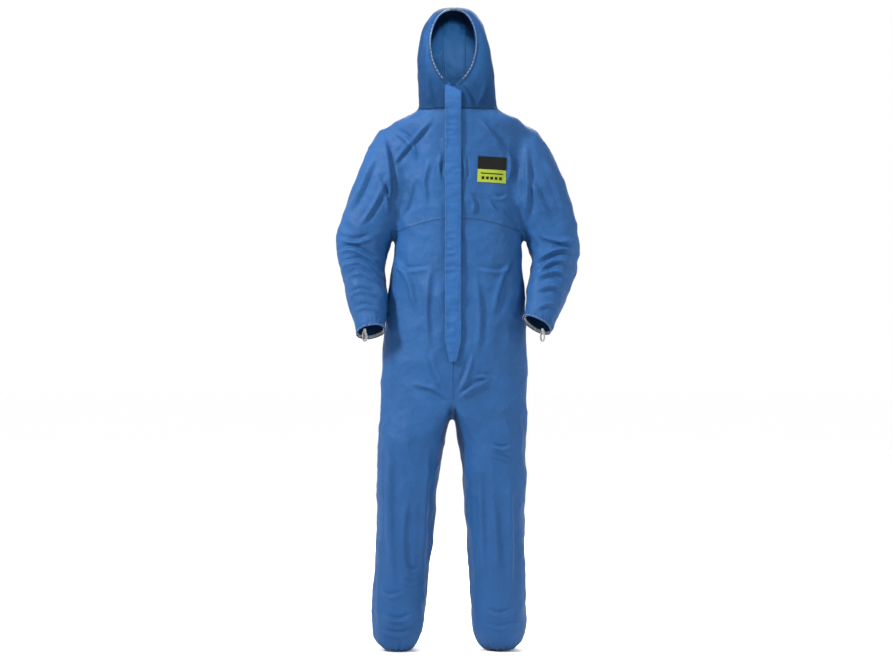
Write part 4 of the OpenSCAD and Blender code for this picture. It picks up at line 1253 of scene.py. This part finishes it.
# the fold under the flap takes the darkened cloth: painted shade
fold = skin_rows("zip_flap_fold", rows, CLOTH_HEM_PAINTED_SHADE, closed=False)
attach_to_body(fold, "flap")
spots = []
for z in np.arange(0.045, -0.64, -0.0042):
    spots.append(((LEFT + 0.0052, low[1] - 0.0003, z), (LEFT + 0.0052, low[1] - 0.0003, z - 0.0030), (0, -1, 0)))
for z in np.arange(0.030, -0.64, -0.0042):
    spots.append(((RIGHT - 0.006, low[1] - 0.0004, z), (RIGHT - 0.006, low[1] - 0.0004, z - 0.0030), (0, -1, 0)))
seam_thread = stitches("zip_flap_stitches", spots, woven("thread_blue", (0.020, 0.055, 0.135), 2600, 0.65, 0.7), 0.0003)
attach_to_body(seam_thread, "flap")
for name, node, material, slot_name in (("flap_glue_strip", "flap_adhesive", GLUE, "adhesive"),
                                        ("flap_liner_strip", "adhesive_liner", LINER, "liner")):
    a, b = (np.array(p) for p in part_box(node))
    x, y = (a[0] + b[0]) / 2, (a[1] + b[1]) / 2 + 0.0016
    zs = np.arange(b[2], a[2], -0.006)
    path = [(x + 0.0002 * math.sin(q * 60), y + 0.0001 * math.sin(q * 90), q) for q in zs]
    strip = ribbon(name, path, [(1, 0, 0)] * len(zs), b[0] - a[0], max(0.0003, b[1] - a[1]), material)
    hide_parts(node)
    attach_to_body(strip, "flap")

# the zip: woven tapes and two rows of teeth
for side, k in (("right", -1), ("left", 1)):
    a, b = (np.array(p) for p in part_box("zip_tape_" + side))
    zs = np.arange(b[2], a[2], -0.006)
    path = [((a[0] + b[0]) / 2, (a[1] + b[1]) / 2, q) for q in zs]
    tape = ribbon("zip_tape_cloth_" + side, path, [(1, 0, 0)] * len(zs), b[0] - a[0], 0.0008, TAPE)
    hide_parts("zip_tape_" + side)
    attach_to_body(tape, "torso")
    a, b = (np.array(p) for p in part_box("zip_coil_" + side))
    points, faces = [], []
    for q in np.arange(b[2] - 0.001 - (0.0008 if k > 0 else 0), a[2] + 0.001, -0.0017):
        base = len(points)
        y0, y1 = a[1] + 0.0001, b[1] - 0.0001
        x0, x1 = a[0], b[0]
        for y, r in ((y0, 0.7), (y0 + 0.0006, 1.0), (y1 - 0.0006, 1.0), (y1, 0.7)):
            mid_x, half_x = (x0 + x1) / 2, (x1 - x0) / 2 * r
            points += [(mid_x - half_x, y, q - 0.0005 * r), (mid_x + half_x, y, q - 0.0005 * r),
                       (mid_x + half_x, y, q + 0.0005 * r), (mid_x - half_x, y, q + 0.0005 * r)]
        faces += [(base + j * 4 + i, base + j * 4 + (i + 1) % 4,
                   base + j * 4 + 4 + (i + 1) % 4, base + j * 4 + 4 + i) for j in range(3) for i in range(4)]
        faces += [(base + 3, base + 2, base + 1, base), (base + 12, base + 13, base + 14, base + 15)]
    teeth = mesh_of("zip_teeth_" + side, points, faces)
    teeth.materials.append(NYLON)
    teeth = object_of("zip_teeth_" + side, teeth)
    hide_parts("zip_coil_" + side)
    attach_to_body(teeth, "torso")
for node in ("zip_top_stops", "zip_bottom_stop", "zip_slider", "zip_puller"):
    for place in frame["nodes"][node].material_slots:
        place.material = METAL

# the printed label on the left breast, in two plain colours
CENTRE, TILT = np.array([0.1095, -0.166]), math.radians(-2.5)
across, upward = np.array([math.cos(TILT), math.sin(TILT)]), np.array([-math.sin(TILT), math.cos(TILT)])


def label_patch(name, x0, x1, z0, z1, lift, material, nx=24, nz=12):
    """A patch of film lying on the chest, cut to a rectangle in the label's own directions."""
    top, under = [], []
    for b in np.linspace(z0, z1, nz + 1):
        for a in np.linspace(x0, x1, nx + 1):
            q = CENTRE + across * a + upward * b
            hit, n, _, _ = surface.ray_cast(Vector((q[0], -0.5, q[1])), Vector((0, 1, 0)))
            n = n if n.y < 0 else -n
            top.append(np.array(hit) + np.array(n) * lift)
            under.append(np.array(hit) + np.array(n) * (lift - 0.0006))
    grid = np.array(top).reshape(nz + 1, nx + 1, 3)
    for _ in range(2):
        grid[1:-1, 1:-1] = (grid[1:-1, 1:-1] * 2 + grid[:-2, 1:-1] + grid[2:, 1:-1]
                            + grid[1:-1, :-2] + grid[1:-1, 2:]) / 6
    points = np.vstack([grid.reshape(-1, 3), np.array(under)])
    n, size = nx + 1, (nx + 1) * (nz + 1)
    faces = []
    for j in range(nz):
        for i in range(nx):
            q = (j * n + i, j * n + i + 1, (j + 1) * n + i + 1, (j + 1) * n + i)
            faces += [q, tuple(size + s for s in q[::-1])]
    edge = ([(i, i + 1) for i in range(nx)] + [(j * n + nx, (j + 1) * n + nx) for j in range(nz)]
            + [(nz * n + i + 1, nz * n + i) for i in range(nx)] + [((j + 1) * n, j * n) for j in range(nz)])
    faces += [(b, a, size + a, size + b) for a, b in edge]
    made = mesh_of(name, points, faces)
    made.materials.append(material)
    made.shade_smooth()
    made.set_sharp_from_angle(angle=0.7)
    obj = object_of(name, made)
    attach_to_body(obj, "torso")
    return obj


dark = label_patch("chest_label_dark", -0.0395, 0.0395, 0.0, 0.0355, 0.0013, LABEL_DARK)
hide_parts("chest_label")
label_patch("chest_label_lime", -0.0395, 0.0395, -0.0355, 0.0, 0.0013, LABEL_LIME)
label_patch("chest_label_bar", -0.030, 0.030, -0.0125, -0.0095, 0.0016, LABEL_DARK, 12, 2)
for k in range(5):
    x = -0.024 + 0.012 * k
    label_patch(f"chest_label_mark_{k + 1}", x - 0.0038, x + 0.0038, -0.0275, -0.0195, 0.0016, LABEL_DARK, 4, 4)

# the care label inside the nape
a, b = (np.array(p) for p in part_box("size_label"))
rows = []
for z in np.linspace(b[2], a[2], 15):
    y = (a[1] + b[1]) / 2 + 0.0012 * math.sin((b[2] - z) * 90)
    front_row = [(x, y + 0.0006 * math.sin((x - a[0]) * 160), z) for x in np.linspace(a[0], b[0], 9)]
    rows.append(front_row + [(p[0], p[1] + 0.0005, p[2]) for p in front_row[::-1]])
care = skin_rows("care_label", rows, SATIN, closed=False)
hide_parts("size_label")
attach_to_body(care, "torso")

# ---------------------------------------------------------------- floor
FLOOR_Z = -1.501
corners = [(-30, -30, FLOOR_Z), (30, -30, FLOOR_Z), (30, 30, FLOOR_Z), (-30, 30, FLOOR_Z)]
ground = object_of("floor", mesh_of("floor", corners, [(0, 1, 2, 3)]))
pale = Nodes("floor_pale", rough=0.9, specular=0.1)
faint = pale.ramp(pale.noise(pale.place, 3, 2), [(0, (0.985, 0.985, 0.985)), (1, (1, 1, 1))])
ground.data.materials.append(pale.finish(faint))
